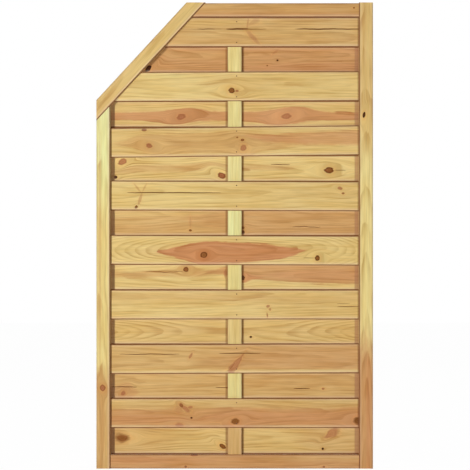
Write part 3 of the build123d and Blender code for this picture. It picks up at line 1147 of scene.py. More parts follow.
def make_band_group():
    """Band: mixes in a band of another tone that follows the grain and narrows to a point at both ends. Late wood
    reaches further out of it, which feathers its edge."""
    places = ["Along", "Across", "Half Length", "Half Height", "Ragged", "Soft", "Share"]
    inputs = {"Color": ["Color", "Band Color"], "Vector": ["Flow"], "Float": ["Wobble", "Late", *places]}
    w, given, result = new_group("Timber Band", inputs, {"Color": ["Color"]})
    x, _, z = w.parts(given["Flow"])
    reach = (abs(x - given["Along"]) / given["Half Length"]) ** BAND_BLUNTNESS
    room = given["Half Height"] * (1.0 - reach)
    edge = given["Wobble"] + (given["Late"] * LATE_OUTREACH + EARLY_OUTREACH)
    inside = edge * given["Ragged"] + room - abs(z - given["Across"])
    mask = w.smooth(inside, given["Soft"] * -1.0, given["Soft"])
    w.feed(result["Color"], w.mix(mask * given["Share"], given["Color"], given["Band Color"]))


# Soft rim of a check in millimetres, the share of its half width that is fully dark, and how open it has to be to
# show fully
CHECK_RIM = 0.3
CHECK_CORE = 0.6
CHECK_OPEN = 0.12


def make_check_group():
    """Check: dark line along the grain that sways in two waves and narrows to nothing at both ends."""
    inputs = {"Vector": ["Board"], "Float": ["Check", "Start", "End", "Across", "Width", "Sway"]}
    w, given, result = new_group("Drying Check", inputs, {"Float": ["Check"]})
    x, _, z = w.parts(given["Board"])
    share = (x - given["Start"]) / (given["End"] - given["Start"])
    opened = w.larger(share * (1.0 - share) * 4.0, 0.0)
    slow, quick = [w.math("SINE", x * (2 * math.pi / wave)) * height for height, wave in CHECK_WAVES]
    sway = given["Sway"] * w.smaller(opened * CHECK_EASE, 1.0)
    line = (slow + quick) * sway + given["Across"]
    half = given["Width"] * 0.5 * w.math("SQRT", opened)
    mask = w.smooth(abs(z - line), half + CHECK_RIM, half * CHECK_CORE)
    shown = mask * w.smooth(opened, 0.0, CHECK_OPEN)
    w.feed(result["Check"], w.larger(given["Check"], shown))


# Noises of the grain: how each is scaled along, through and across the board, its own seed and its detail
GRAIN_NOISES = {
    "Wander": ((0.0035, 0.01, 0.012), 0.0, 3.0),
    "Ripple": ((0.009, 0.05, 0.12), 0.0, 4.0),
    "Vigour": ((0.008, 0.05, 0.05), 3.7, 2.0),
    "Fibre": ((0.018, 0.5, 0.6), 7.3, 4.0),
    "Streak": ((0.0045, 0.06, 0.13), 5.1, 4.0),
    "Blotch": ((0.007, 0.03, 0.028), 11.9, 2.0),
}

# How far the pith wanders and the rings ripple in millimetres, and the length over which the pith's rise is given
PITH_WANDER = 14.0
RING_RIPPLE = 3.0
RISE_LENGTH = 100.0

# Shares of a year at which late wood comes and goes, and the vigour at which it starts and is full
LATE_COMES = (0.3, 0.88)
LATE_GOES = (1.0, 0.92)
LATE_VIGOUR = (0.25, 0.7)


def make_grain_group():
    """Pine Grain: year rings round a pith that lies behind the board and wanders along it, fine fibres, longer
    streaks and slow blotches. A ring darkens slowly into its late wood and ends sharply."""
    inputs = {"Vector": ["Flow"], "Float": ["Seed", "Pith Across", "Pith Depth", "Rise", "Bow", "Ring Width"]}
    plain = ["Fibre", "Streak", "Blotch"]
    w, given, result = new_group("Pine Grain", inputs, {"Float": ["Late", *plain]})
    x, y, z = w.parts(given["Flow"])
    noise = {
        name: w.noise(given["Flow"], scale, given["Seed"] + seed, detail)
        for name, (scale, seed, detail) in GRAIN_NOISES.items()
    }
    share = x * (1 / RISE_LENGTH)
    slant = share * (share * given["Bow"] + given["Rise"])
    behind = given["Pith Depth"] + slant - y + (noise["Wander"] - 0.5) * PITH_WANDER
    radius = w.far(z - given["Pith Across"], behind)
    rings = ((noise["Ripple"] - 0.5) * RING_RIPPLE + radius) / given["Ring Width"]
    year = w.math("FRACT", rings)
    late = w.smooth(year, *LATE_COMES) * w.smooth(year, *LATE_GOES)
    w.feed(result["Late"], late * w.smooth(noise["Vigour"], *LATE_VIGOUR))
    for name in plain:
        w.feed(result[name], noise[name])


# Dirt and painted seam shade along the arrises: how softly they end and how far they waver, and the width and
# strength of the painted highlight beside them
DIRT_SHADE_FADE = 2.0
DIRT_SHADE_WAVER = 1.0
HIGHLIGHT_REACH = 8.0
HIGHLIGHT_SHARE = {"Upper": 0.16, "Lower": 0.33}


def make_dirt_and_shade_group():
    """Arris Grime: soiling where both a long edge and a face are near. It reaches differently far on the front and on
    the back, less far along the lower edge, and is separately strong along the two edges. Beside it the wood is
    rubbed pale."""
    sizes = ["Half Width", "Half Depth", "Front Reach", "Back Reach", "Less Below", "Upper", "Lower"]
    inputs = {"Vector": ["Board"], "Float": ["Wobble", *sizes]}
    w, given, result = new_group("Arris DirtAndShade", inputs, {"Float": ["DirtAndShade", "Painted Highlight"]})
    _, y, z = w.parts(given["Board"])
    from_face = given["Half Depth"] - abs(y)
    wider = given["Back Reach"] - given["Front Reach"]
    reach = w.math("GREATER_THAN", y, 0.0) * wider + given["Front Reach"]
    reach = given["Wobble"] * DIRT_SHADE_WAVER + reach
    edges = {
        "Upper": (given["Half Width"] - z, reach),
        "Lower": (given["Half Width"] + z, reach - given["Less Below"]),
    }
    masks, highlights = [], []
    for edge, (from_edge, dark_reach) in edges.items():
        corner = w.larger(from_edge, from_face)
        masks.append(w.smooth(corner, dark_reach, dark_reach - DIRT_SHADE_FADE) * given[edge])
        highlights.append(w.smooth(corner, dark_reach + HIGHLIGHT_REACH, dark_reach) * given[edge] * HIGHLIGHT_SHARE[edge])
    w.feed(result["DirtAndShade"], w.larger(*masks))
    w.feed(result["Painted Highlight"], w.larger(*highlights))


# Painted corner shade: the strength of the painted shadow beside the batten, the reach of the line of painted shade
# # at a slat's end, and the shares of the reaches within which the shade and the painted shade strip are full
BATTEN_SHADE = 0.6
END_SHADE_LINE_REACH = 5.5
SHADE_CORE = 0.4
SHADE_STRIP_CORE = 0.65


def make_corner_shade_group():
    """Corner Soil: grime of a slat on its inner face towards the batten and in a line at its ends, and stain near
    these."""
    sizes = ["Inner", "Half Batten", "Half Opening", "Batten Reach", "End Shade Line", "Shade Strip Reach", "End Shade Strip"]
    inputs = {"Vector": ["Board"], "Float": sizes}
    w, given, result = new_group("Corner Soil", inputs, {"Float": ["Soil", "Shade Strip"]})
    x, y, _ = w.parts(given["Board"])
    out = abs(x)
    inner = w.math("GREATER_THAN", y * given["Inner"], 0.0)
    shade_reach, strip_reach = given["Batten Reach"], given["Shade Strip Reach"]
    beside = w.smooth(out - given["Half Batten"], shade_reach, shade_reach * SHADE_CORE)
    from_end = given["Half Opening"] - out
    line = w.smooth(from_end, END_SHADE_LINE_REACH, END_SHADE_LINE_REACH / 2) * given["End Shade Line"]
    shade_strip = w.smooth(from_end, strip_reach, strip_reach * SHADE_STRIP_CORE)
    w.feed(result["Soil"], w.larger(beside * inner * BATTEN_SHADE, line))
    w.feed(result["Shade Strip"], shade_strip * given["End Shade Strip"])


# Tints of the wood, and the noise over which each sets in
BLOTCH_RANGE, BLOTCH_TINT = (0.3, 0.75), (0.94, 0.88, 0.76, 1.0)
STREAK_RANGE, STREAK_TINT = (0.46, 0.72), (0.89, 0.82, 0.71, 1.0)
LATE_TINT = (0.69, 0.55, 0.38, 1.0)
FIBRE_CONTRAST, FIBRE_LIGHT = 0.58, 1.06

# Wood round a knot: a warm halo, stronger round a dark knot, and a pale crescent, by the distance in knot sizes
HALO_RANGE, HALO_TINT = (2.6, 1.2), (0.92, 0.76, 0.62, 1.0)
HALO_SHARE, HALO_BY_TONE = 0.15, 0.3
CRESCENT_COMES, CRESCENT_GOES = (1.05, 1.3), (1.7, 1.35)
CRESCENT_SHARE, CRESCENT_TINT = 0.5, (1.12, 1.08, 1.04, 1.0)

# Knots: their mottle, their rings, their rim by distance and by the edge's softness, and their strength by tone
KNOT_MOTTLE, KNOT_DARKENS = 0.6, (0.25, 0.85)
KNOT_RINGS, KNOT_RING_WAVER, KNOT_RING_RANGE = 13.0, 9.0, (-0.4, 1.0)
KNOT_RING_SHARE, KNOT_RING_TINT = 0.5, (0.70, 0.58, 0.48, 1.0)
RIM_RANGE, RIM_SHARPNESS, RIM_BY_TONE = (0.5, 0.85), (0.4, 0.1), (0.1, 0.4)
RIM_DARKENS, RED_RIM, DARK_RIM = (0.3, 0.8), (0.74, 0.58, 0.48, 1.0), (0.50, 0.36, 0.14, 1.0)
DEAD_RANGE, DEAD_TINT = (0.9, 1.0), (0.30, 0.24, 0.20, 1.0)
KNOT_STRENGTH, KNOT_LEAST_STRENGTH = 1.5, 0.2

# Strength of the dirt and painted seam shade, roughness from the fibres, and the surface's height from late wood and
# fibres
DIRT_SHADE_SHARE = 0.9
ROUGH_BY_FIBRE, LEAST_ROUGH = 0.2, 0.5
HEIGHT_BY_LATE, HEIGHT_BY_FIBRE, HEIGHT_SHARE = 0.6, 0.5, 0.5


def make_pine_group(colours):
    """Pine Colour: puts grain, knots, checks and grime on the timber's tone, and gives its roughness and its
    height."""
    grain = ["Late", "Late Strength", "Fibre", "Streak", "Blotch"]
    marks = ["Wobble", "Nearness", "Tone", "Softness", "Check", "DirtAndShade", "Painted Highlight", "Shade Strip"]
    inputs = {"Color": ["Timber"], "Float": grain + marks}
    w, given, result = new_group("Pine Colour", inputs, {"Color": ["Color"], "Float": ["Roughness", "Height"]})
    near, tone, soft = given["Nearness"], given["Tone"], given["Softness"]
    fibre, wobble = given["Fibre"], given["Wobble"]
    late = given["Late"] * given["Late Strength"]
    colour = w.tinted(w.smooth(given["Blotch"], *BLOTCH_RANGE), given["Timber"], BLOTCH_TINT)
    colour = w.tinted(w.smooth(given["Streak"], *STREAK_RANGE), colour, STREAK_TINT)
    colour = w.tinted(late, colour, LATE_TINT)
    shade = (fibre - 0.5) * FIBRE_CONTRAST + FIBRE_LIGHT
    colour = w.tinted(1.0, colour, w.joined(shade, shade, shade))
    halo = w.smooth(near, *HALO_RANGE) * (tone * HALO_BY_TONE + HALO_SHARE)
    colour = w.tinted(halo, colour, HALO_TINT)
    crescent = w.smooth(near, *CRESCENT_COMES) * w.smooth(near, *CRESCENT_GOES)
    colour = w.tinted(crescent * CRESCENT_SHARE, colour, CRESCENT_TINT)

    uneven = tone + wobble * KNOT_MOTTLE
    body = w.mix(w.smooth(uneven, *KNOT_DARKENS), colours["knot_red"], colours["knot_dark"])
    ringed = w.math("SINE", near * KNOT_RINGS + wobble * KNOT_RING_WAVER)
    body = w.tinted(w.smooth(ringed, *KNOT_RING_RANGE) * KNOT_RING_SHARE, body, KNOT_RING_TINT)
    rim = w.smooth(near, *RIM_RANGE) * w.smooth(soft, *RIM_SHARPNESS)
    rim_tint = w.mix(w.smooth(tone, *RIM_DARKENS), RED_RIM, DARK_RIM)
    body = w.tinted(rim * w.smooth(tone, *RIM_BY_TONE), body, rim_tint)
    body = w.tinted(w.smooth(tone, *DEAD_RANGE), body, DEAD_TINT)
    in_knot = w.smooth(near, soft + 1.0, 1.0 - soft)
    strength = w.smaller(tone * KNOT_STRENGTH + KNOT_LEAST_STRENGTH, 1.0)
    colour = w.mix(in_knot * strength, colour, body)

    # The painted highlight along the edges, the painted shade near the stiles and the checks go on in turn, and last
    # the dark lines of dirt and painted seam shade
    for mark, paint in (("Painted Highlight", "edge_highlight"), ("Shade Strip", "end_shade_tint"), ("Check", "check_brown")):
        colour = w.mix(given[mark], colour, colours[paint])
    w.feed(result["Color"], w.mix(given["DirtAndShade"] * DIRT_SHADE_SHARE, colour, colours["grime_brown"]))
    w.feed(result["Roughness"], fibre * ROUGH_BY_FIBRE + LEAST_ROUGH)
    surface_marks = (late * HEIGHT_BY_LATE + fibre * HEIGHT_BY_FIBRE) * HEIGHT_SHARE
    w.feed(result["Height"], surface_marks - given["Check"] - rim * in_knot * strength)


def palette(context):
    """Every colour of the panel as red, green, blue and opacity."""
    group = context.scene.fence_colours
    return {name: (*getattr(group, name), 1.0) for name in group.__annotations__}


def make_groups(colours):
    """Build the shared node groups once."""
    if "Knot" not in bpy.data.node_groups:
        make_knot_group()
        make_band_group()
        make_check_group()
        make_grain_group()
        make_dirt_and_shade_group()
        make_corner_shade_group()
        make_pine_group(colours)


def new_material(name):
    """Material with its wiring and its Principled shader."""
    material = bpy.data.materials.new(name)
    material.use_nodes = True
    shader = material.node_tree.nodes["Principled BSDF"]
    return material, Wiring(material.node_tree), shader


# Bump of the wood in metres and its strength, the wood's sheen, and the scale of the wobble in its marks
BUMP_HEIGHT = 0.0006
BUMP_STRENGTH = 0.35
TIMBER_SHEEN = 0.12
WOBBLE_SCALE = (0.05, 0.05, 0.14)

# What a knot group is given before the first knot, and the turn up to which a board counts as level
NO_KNOT = {"Bend": 0.0, "Nearness": 99.0, "Tone": 0.0, "Softness": 0.1}
LEVEL_TURN = 0.1


def timber_material(context, timber, seed, grime, corner_shade=None):
    """Pine with the board's own tones, bands, knots, checks, grain and soiled arrises. soil holds the inputs of the
    corner soil of a slat."""
    colours, look = palette(context), LOOKS[timber.name]
    make_groups(colours)
    material, w, shader = new_material("pine_" + timber.name)
    inputs = {
        "Vector": w.value("Object", "TexCoord", {}),
        "Location": tuple(timber.centre * MM),
        "Rotation": (0.0, timber.turn, 0.0),
        "Scale": (MM, MM, MM),
    }
    board = w.value(0, "Mapping", inputs, vector_type="TEXTURE")
    wobble = w.noise(board, WOBBLE_SCALE, seed) - 0.5
    knotted = NO_KNOT
    for knot in look.knots:
        along, _, across = to_timber(timber, (knot.x, 0.0, knot.z))
        turn = math.radians(knot.turn) + (timber.turn if abs(timber.turn) < LEVEL_TURN else 0.0)
        inputs = {"Board": board, "Wobble": wobble, "Along": along, "Across": across, "Turn": turn}
        inputs |= {"Half Length": knot.long, "Half Height": knot.high, "Darkness": knot.tone}
        inputs |= {"Flow": knot.flow, "Edge": knot.soft, "Taper": knot.taper}
        knotted = w.group("Knot", inputs | knotted)
    flow = w.vector("ADD", board, w.joined(0.0, 0.0, knotted["Bend"]))
    inputs = {"Flow": flow, "Seed": seed, "Pith Across": look.pith[0], "Pith Depth": look.pith[1]}
    inputs |= {"Rise": look.rise, "Bow": look.bow, "Ring Width": look.ring}
    grain = w.group("Pine Grain", inputs)
    tint = colours[look.tone]
    for band in look.bands:
        along, _, across = to_timber(timber, (band.x, 0.0, band.z))
        inputs = {"Color": tint, "Band Color": colours[band.tone], "Flow": flow, "Wobble": wobble}
        inputs |= {"Late": grain["Late"], "Along": along, "Across": across, "Half Length": band.long}
        inputs |= {"Half Height": band.high, "Ragged": band.ragged, "Soft": band.soft, "Share": band.share}
        tint = w.group("Timber Band", inputs)["Color"]
    split = 0.0
    for check in look.checks:
        start, end, line, sway = check_in_timber(timber, check)
        inputs = {"Board": board, "Check": split, "Start": start, "End": end, "Across": line}
        split = w.group("Drying Check", inputs | {"Width": check.width, "Sway": sway})["Check"]
    # Dark lines along the arrises, partly dirt and partly painted seam shade, with a painted highlight beside them
    inputs = {"Board": board, "Wobble": wobble, "Half Width": timber.width / 2, "Half Depth": timber.depth / 2}
    inputs |= {"Front Reach": grime.front, "Back Reach": grime.back, "Less Below": grime.less_below}
    surface_marks = w.group("Arris DirtAndShade", inputs | {"Upper": grime.upper, "Lower": grime.lower})
    # On a slat, painted shadow beside the batten and painted shade at its ends join the dark lines
    if corner_shade:
        corner = w.group("Corner Soil", corner_shade | {"Board": board})
        surface_marks |= {"DirtAndShade": w.larger(surface_marks["DirtAndShade"], corner["Soil"]), "Shade Strip": corner["Shade Strip"]}
    marks = {name: knotted[name] for name in ("Nearness", "Tone", "Softness")}
    inputs = {"Timber": tint, "Late Strength": look.late, "Wobble": wobble, "Check": split, "Shade Strip": 0.0}
    pine = w.group("Pine Colour", inputs | grain | marks | surface_marks)
    bump = {"Strength": BUMP_STRENGTH, "Distance": BUMP_HEIGHT, "Height": pine["Height"]}
    w.feed(shader.inputs["Base Color"], pine["Color"])
    w.feed(shader.inputs["Roughness"], pine["Roughness"])
    w.feed(shader.inputs["Normal"], w.value(0, "Bump", bump))
    w.feed(shader.inputs["Specular IOR Level"], TIMBER_SHEEN)
    return material


# Steel: scale and seed of its rust patches and its scratches, where rust starts and is full on clean steel, how much
# sooner on rusty steel, and how rust and scratches change the look
PATCH_SCALE, PATCH_SEED, PATCH_DETAIL = (420.0, 420.0, 420.0), 1.7, 3.0
SCRATCH_SCALE, SCRATCH_SEED = (2600.0, 2600.0, 900.0), 4.1
RUST_STARTS, RUST_FULL, RUST_SOONER = 0.62, 0.78, 0.4
SCRATCH_SHARE, SCRATCH_TINT = 0.5, (0.5, 0.5, 0.5, 1.0)
METALLIC, RUST_LESS_METALLIC = 0.9, -0.7
STEEL_ROUGH, ROUGH_BY_RUST, ROUGH_BY_SCRATCH = 0.3, 0.3, 0.2


def steel_material(name, bright, rusty, rust_share):
    """Dull steel: two tones mixed in small patches, rougher and less metallic where it has rusted."""
    material, w, shader = new_material(name)
    place = w.value("Object", "TexCoord", {})
    patch = w.noise(place, PATCH_SCALE, PATCH_SEED, PATCH_DETAIL)
    scratch = w.noise(place, SCRATCH_SCALE, SCRATCH_SEED)
    sooner = RUST_SOONER * rust_share
    rust = w.smooth(patch, RUST_STARTS - sooner, RUST_FULL - sooner)
    tone = w.tinted(scratch * SCRATCH_SHARE, bright, SCRATCH_TINT)
    w.feed(shader.inputs["Base Color"], w.mix(rust, tone, rusty))
    w.feed(shader.inputs["Metallic"], rust * RUST_LESS_METALLIC + METALLIC)
    w.feed(shader.inputs["Roughness"], rust * ROUGH_BY_RUST + STEEL_ROUGH + scratch * ROUGH_BY_SCRATCH)
    return material


# Operators

DirtAndShade = namedtuple("DirtAndShade", "front back upper lower less_below", defaults=(0.0,))
# Dark lines along the arrises, partly dirt and partly painted seam shade: how far they reach on the front and on the
# back, how strong they are along the upper and the lower edge, and by how much less they reach along the lower edge.
DirtAndShade.__doc__ = """Soiled arrises: how far the soiling reaches on the front and on the back, how strong it is along
the upper and the lower edge, and by how much less it reaches along the lower edge."""

# Dark lines along a slat's arrises, partly dirt and partly painted seam shade: the reach on its outer face, how far
# past the lap they go on the inner face, which paints the shade just under the next slat's edge, how much less along a
# rear slat's lower edge, and the reach along the lower edge of the lowest slat
SLAT_EDGE_REACH = 3.8
LAP_SHADE_LINE = 3.2
LESS_BELOW = 2.6
LOWEST_REACH = 5.0
LOWEST_SLAT = "rear_slat_8"

# Dark lines of dirt and painted seam shade along the arrises of the frame timbers and the batten
FRAME_DIRT_AND_SHADE = {
    "left_stile": DirtAndShade(4.6, 4.6, 0.25, 0.95),
    "right_stile": DirtAndShade(4.6, 4.6, 1.0, 0.25),
    "slope_rail": DirtAndShade(4.6, 4.6, 0.3, 0.95),
    "top_rail": DirtAndShade(4.0, 4.0, 0.3, 0.9),
    "bottom_rail": DirtAndShade(4.0, 4.0, 0.5, 0.3),
}
BATTEN_DIRT_AND_SHADE = DirtAndShade(2.4, 2.4, 0.5, 0.5)

# Painted corner shade of a slat: the reach of the painted shadow beside the batten, the strength of the line of
# # painted shade and of the strip of painted shade at its ends by layer, and the reach of the strip
BATTEN_SHADE_REACH = 10.5
END_SHADE_LINE = {"front": 0.65, "rear": 0.15}
END_SHADE_STRIP = {"front": 0.0, "rear": 0.6}
SHADE_STRIP_REACH = 16.0


def slat_dirt_and_shade(sizes, timber, layer):
    """Soiled arrises and soiled corners of a slat. On its inner face the soiling covers the lap over the next slats
    and a thin line more."""
    pitch = (middle("front_slat_4").z - middle("front_slat_5").z) / 2
    lap = sizes.slat_width - pitch + LAP_SHADE_LINE
    reaches = (SLAT_EDGE_REACH, lap) if layer == "front" else (lap, SLAT_EDGE_REACH)
    corner_shade = {
        "Inner": -math.copysign(1.0, timber.centre[1]),
        "Half Batten": sizes.batten_width / 2,
        "Half Opening": sizes.panel_width / 2 - sizes.stile_width,
        "Batten Reach": BATTEN_SHADE_REACH,
        "End Shade Line": END_SHADE_LINE[layer],
        "Shade Strip Reach": SHADE_STRIP_REACH,
        "End Shade Strip": END_SHADE_STRIP[layer],
    }
    if layer == "front":
        less_below = 0.0
    elif timber.name == LOWEST_SLAT:
        less_below = lap - LOWEST_REACH
    else:
        less_below = LESS_BELOW
    return DirtAndShade(*reaches, 1.0, 1.0, less_below), corner_shade


# Seeds of the noise in the timbers
SLAT_SEED_STEP = 2.31
LAYER_SEED = {"front": 0.0, "rear": 40.0}
STILE_SEED = {"left_stile": 61.0, "right_stile": 67.0}
RAIL_SEED = {"slope_rail": 71.0, "top_rail": 72.0, "bottom_rail": 73.0}
BATTEN_SEED = 91.0


def build_slats(context, layer):
    """Build the slats of one layer."""
    sizes = millimetres(context.scene.fence_sizes)
    for number in range(1, ROW_PAIRS + 1):
        timber = slat_timber(sizes, layer, number)
        seed = number * SLAT_SEED_STEP + LAYER_SEED[layer]
        shell = slat_shell(sizes, timber, LOOKS[timber.name])
        material = timber_material(context, timber, seed, *slat_dirt_and_shade(sizes, timber, layer))
        make_piece("board_" + timber.name, [shell], material, "slat_timber", timber.name)


class FENCE_OT_front_slats(bpy.types.Operator):
    """Build the eight slats on the front of the batten"""

    bl_idname = "fence.front_slats"
    bl_label = "Front Slats"

    def execute(self, context):
        build_slats(context, "front")
        return {"FINISHED"}


class FENCE_OT_rear_slats(bpy.types.Operator):
    """Build the eight slats on the back of the batten"""

    bl_idname = "fence.rear_slats"
    bl_label = "Rear Slats"

    def execute(self, context):
        build_slats(context, "rear")
        return {"FINISHED"}


class FENCE_OT_batten(bpy.types.Operator):
    """Build the upright batten between the two layers of slats"""

    bl_idname = "fence.batten"
    bl_label = "Centre Batten"

    def execute(self, context):
        sizes = millimetres(context.scene.fence_sizes)
        timber = frame_timbers(sizes)["centre_batten"]
        shell = frame_shell(sizes, timber, plain_section(timber, sizes.batten_edge))
        material = timber_material(context, timber, BATTEN_SEED, BATTEN_DIRT_AND_SHADE)
        make_piece("board_centre_batten", [shell], material, "batten_timber", "centre_batten")
        return {"FINISHED"}


class FENCE_OT_stiles(bpy.types.Operator):
    """Build the two grooved stiles"""

    bl_idname = "fence.stiles"
    bl_label = "Stiles"

    def execute(self, context):
        sizes = millimetres(context.scene.fence_sizes)
        timbers = frame_timbers(sizes)
        for name, inner in (("left_stile", -1), ("right_stile", 1)):
            timber = timbers[name]
            shells = [frame_shell(sizes, timber, grooved_section(sizes, timber, inner))]
            if name == "left_stile":
                shells += stile_tongues(sizes)
            material = timber_material(context, timber, STILE_SEED[name], FRAME_DIRT_AND_SHADE[name])
            make_piece("frame_" + name, shells, material, "frame_timber", name)
        return {"FINISHED"}


class FENCE_OT_rails(bpy.types.Operator):
    """Build the sloping rail and the two level rails"""

    bl_idname = "fence.rails"
    bl_label = "Rails"

    def execute(self, context):
        sizes = millimetres(context.scene.fence_sizes)
        timbers = frame_timbers(sizes)
        slope = timbers["slope_rail"]
        shells = {"slope_rail": [frame_shell(sizes, slope, grooved_section(sizes, slope, -1))]}
        for name in ("top_rail", "bottom_rail"):
            timber = timbers[name]
            body = frame_shell(sizes, timber, plain_section(timber, sizes.arris_radius))
            shells[name] = [body, *rail_tongues(sizes, timber)]
        for name, parts in shells.items():
            material = timber_material(context, timbers[name], RAIL_SEED[name], FRAME_DIRT_AND_SHADE[name])
            make_piece("frame_" + name, parts, material, "frame_timber", name)
        return {"FINISHED"}


# Turned profiles start this far from their axis
AXIS_RADIUS = 0.1

# Nails: their head as (share of its radius, depth), where the shank starts, their point and how rusty they are
NAIL_HEAD = ((0.8, 0.02), (0.96, 0.15), (1.0, 0.4), (0.9, 0.8))
NAIL_NECK = 1.1
NAIL_POINT = 2.0
NAIL_TIP = 0.3
NAIL_RUST = 0.7


class FENCE_OT_nails(bpy.types.Operator):
    """Build the nails that hold the slats to the batten"""

    bl_idname = "fence.nails"
    bl_label = "Slat Nails"

    def execute(self, context):
        sizes = millimetres(context.scene.fence_sizes)
        head, shank = sizes.nail_head / 2, sizes.nail_shank / 2
        profile = [(AXIS_RADIUS, 0.0), *[(share * head, depth) for share, depth in NAIL_HEAD], (shank, NAIL_NECK)]
        profile += [(shank, sizes.nail_length - NAIL_POINT), (NAIL_TIP, sizes.nail_length)]
        shells = []
        for layer in ("front", "rear"):
            for number in range(1, ROW_PAIRS + 1):
                heads, drive = nail_places(sizes, slat_timber(sizes, layer, number))
                shells += [turned(profile, NAIL_SIDES, place, drive) for place in heads]
        colours = palette(context)
        material = steel_material("nail_steel", colours["nail_steel"], colours["nail_rust"], NAIL_RUST)
        make_piece("nails", shells, material, "nail_steel", "slat_nails")
        return {"FINISHED"}


# Cross recess of a screw: its half sizes and depth, the slopes of its sides and ends, and the rings over it
RECESS_HALF_REACH = 2.5
RECESS_HALF_WIDTH = 0.6
RECESS_DEPTH = 2.2
RECESS_SIDE = 0.2
RECESS_END = 0.4
RECESS_RINGS = 12
RECESS_SHARE = 0.62

# Screws: their head's flat rim, edge and height, their point and how rusty they are
SCREW_RIM = 0.9
SCREW_EDGE = 0.12
SCREW_HEAD_HEIGHT = 4.0
SCREW_POINT = 6.0
SCREW_TIP = 0.4
SCREW_RUST = 0.15


def cross_recess(u, v):
    """Depth of a cross-shaped recess: full within half a slot's width of either arm's line and short of its end."""
    beside, along = np.minimum(np.abs(u), np.abs(v)), np.maximum(np.abs(u), np.abs(v))
    arm = np.clip((RECESS_HALF_WIDTH + RECESS_SIDE / 2 - beside) / RECESS_SIDE, 0.0, 1.0)
    return RECESS_DEPTH * arm * np.clip((RECESS_HALF_REACH - along) / RECESS_END, 0.0, 1.0)


class FENCE_OT_screws(bpy.types.Operator):
    """Build the countersunk screws of the frame joints"""

    bl_idname = "fence.screws"
    bl_label = "Frame Screws"

    def execute(self, context):
        sizes = millimetres(context.scene.fence_sizes)
        head, shank = sizes.screw_head / 2, sizes.screw_shank / 2
        profile = [(radius, 0.0) for radius in np.linspace(AXIS_RADIUS, RECESS_SHARE * head, RECESS_RINGS)]
        profile += [(SCREW_RIM * head, 0.0), (head, SCREW_EDGE), (shank, SCREW_HEAD_HEIGHT)]
        profile += [(shank, sizes.screw_length - SCREW_POINT), (SCREW_TIP, sizes.screw_length)]
        places = screw_places(sizes)
        shells = [turned(profile, SCREW_SIDES, screw.head, screw.axis, cross_recess) for screw in places]
        colours = palette(context)
        material = steel_material("screw_steel", colours["screw_zinc"], colours["screw_dull"], SCREW_RUST)
        make_piece("screws", shells, material, "screw_steel", "frame_screws")
        return {"FINISHED"}


# Floor: how far below the panel it lies in millimetres, its colour and its roughness
FLOOR_DROP = 0.2
FLOOR_COLOUR = (0.86, 0.86, 0.85, 1.0)
FLOOR_ROUGHNESS = 0.8

# White of the surroundings, and the width of the camera's sensor in millimetres
WHITE = (1.0, 1.0, 1.0, 1.0)
SENSOR_WIDTH = 36.0


def seen_rays(w):
    """1 for rays that come from the camera, from a mirroring surface or through glass, and 0 for light."""
    rays = w.node("LightPath", {}).outputs
    kinds = ("Is Camera Ray", "Is Glossy Ray", "Is Transmission Ray")
    camera, mirrored, passed = [Value(w, rays[kind]) for kind in kinds]
    return w.larger(w.larger(camera, mirrored), passed)


def make_floor(stage):
    """Pale square floor that looks white to the camera and keeps a faint shadow."""
    half = stage.floor_size / 2
    corners = np.array([(-half, -half), (half, -half), (half, half), (-half, half)])
    points = np.insert(corners, 2, -FLOOR_DROP * MM, axis=1)
    mesh = bpy.data.meshes.new("floor")
    mesh.from_pydata(points.tolist(), [], [(0, 1, 2, 3)])
    material, w, shader = new_material("pale_floor")
    w.feed(shader.inputs["Base Color"], FLOOR_COLOUR)
    w.feed(shader.inputs["Roughness"], FLOOR_ROUGHNESS)
    glow = w.value(0, "Emission", {"Color": WHITE, "Strength": 1.0})
    both = w.value(0, "MixShader", {0: seen_rays(w) * stage.floor_glow, 1: shader.outputs[0], 2: glow})
    w.feed(material.node_tree.nodes["Material Output"].inputs["Surface"], both)
    mesh.materials.append(material)
    floor = bpy.data.objects.new("floor", mesh)
    bpy.context.scene.collection.objects.link(floor)


def make_world(scene, ambient):
    """World that is white to the camera and in reflections, and lights the panel softly."""
    world = bpy.data.worlds.new("studio")
    world.use_nodes = True
    scene.world = world
    w = Wiring(world.node_tree)
    background = world.node_tree.nodes["Background"].inputs
    w.feed(background["Color"], WHITE)
    w.feed(background["Strength"], seen_rays(w) * (1.0 - ambient) + ambient)


def make_lamp(name, place, size, power, level=True):
    """Square-cornered lamp. A level one faces the panel's upright middle, any other one faces straight down."""
    lamp = bpy.data.lights.new(name, "AREA")
    lamp.shape = "RECTANGLE"
    lamp.size, lamp.size_y = size
    lamp.energy = power
    stand = bpy.data.objects.new(name, lamp)
    stand.location = place
    if level:
        stand.rotation_euler = (math.pi / 2, 0.0, math.atan2(place[0], -place[1]))
    bpy.context.scene.collection.objects.link(stand)


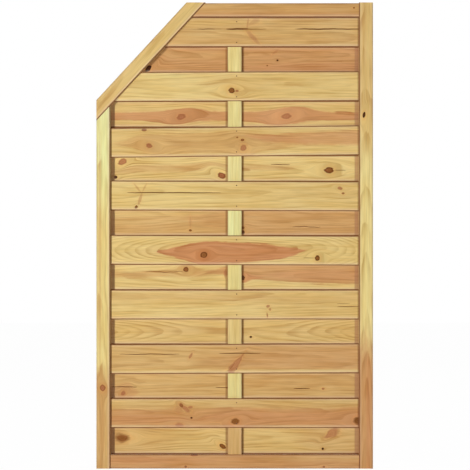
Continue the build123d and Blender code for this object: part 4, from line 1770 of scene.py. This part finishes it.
class FENCE_OT_stage(bpy.types.Operator):
    """Set up the floor, the lamps, the white surroundings and the camera"""

    bl_idname = "fence.stage"
    bl_label = "Studio"

    def execute(self, context):
        scene, stage = context.scene, context.scene.fence_stage
        make_floor(stage)
        make_world(scene, stage.ambient)
        front = (stage.lamp_side, -stage.lamp_distance, stage.lamp_width)
        back = (stage.back_lamp_side, stage.back_lamp_distance, stage.back_lamp_width)
        for name, side, (out, away, width), power in (
            ("key_lamp", -1.0, front, stage.key_power),
            ("fill_lamp", 1.0, front, stage.fill_power),
            ("left_back_lamp", -1.0, back, stage.back_power),
            ("right_back_lamp", 1.0, back, stage.back_power),
        ):
            make_lamp(name, (side * out, away, stage.lamp_height), (width, stage.lamp_tall), power)
        above = (0.0, stage.top_lamp_back, stage.top_lamp_height)
        make_lamp("top_lamp", above, (stage.top_lamp_size, stage.top_lamp_size), stage.top_power, level=False)
        camera = bpy.data.cameras.new("camera")
        camera.lens, camera.sensor_width = stage.lens, SENSOR_WIDTH
        stand = bpy.data.objects.new("camera", camera)
        stand.location = (stage.camera_side, CAD_LOW.y - stage.camera_distance, stage.camera_height)
        stand.rotation_euler = (math.pi / 2, 0.0, 0.0)
        scene.collection.objects.link(stand)
        scene.camera = stand
        scene.view_settings.view_transform = "Standard"
        return {"FINISHED"}


OPERATORS = (
    FENCE_OT_stiles,
    FENCE_OT_rails,
    FENCE_OT_batten,
    FENCE_OT_front_slats,
    FENCE_OT_rear_slats,
    FENCE_OT_nails,
    FENCE_OT_screws,
    FENCE_OT_stage,
)
GROUPS = {"fence_sizes": FencePanelSizes, "fence_colours": FencePanelColours, "fence_stage": FencePanelStage}


class FENCE_PT_panel(bpy.types.Panel):
    """Lists the panel's pieces and its settings"""

    bl_idname = "FENCE_PT_panel"
    bl_label = "Fence Panel"
    bl_space_type = "VIEW_3D"
    bl_region_type = "UI"
    bl_category = "Fence Panel"

    def draw(self, context):
        """Draw a button for each operator and a box for each group of settings."""
        for operator in OPERATORS:
            self.layout.operator(operator.bl_idname)
        for attribute, group in GROUPS.items():
            box = self.layout.box()
            for name in group.__annotations__:
                box.prop(getattr(context.scene, attribute), name)


def register():
    """Register the classes and hang the settings on the scene."""
    for group in (*GROUPS.values(), *OPERATORS, FENCE_PT_panel):
        bpy.utils.register_class(group)
    for attribute, group in GROUPS.items():
        setattr(bpy.types.Scene, attribute, bpy.props.PointerProperty(type=group))


def unregister():
    """Take the settings off the scene and remove the classes."""
    for attribute in GROUPS:
        delattr(bpy.types.Scene, attribute)
    for group in (FENCE_PT_panel, *reversed(OPERATORS), *reversed(GROUPS.values())):
        bpy.utils.unregister_class(group)


def main():
    """Register the add-on, build every piece and the studio, and write the CAD box and the visual box."""
    register()
    bpy.ops.fence.stiles()
    bpy.ops.fence.rails()
    bpy.ops.fence.batten()
    bpy.ops.fence.front_slats()
    bpy.ops.fence.rear_slats()
    bpy.ops.fence.nails()
    bpy.ops.fence.screws()
    bpy.ops.fence.stage()


if __name__ == "__main__":
    main()
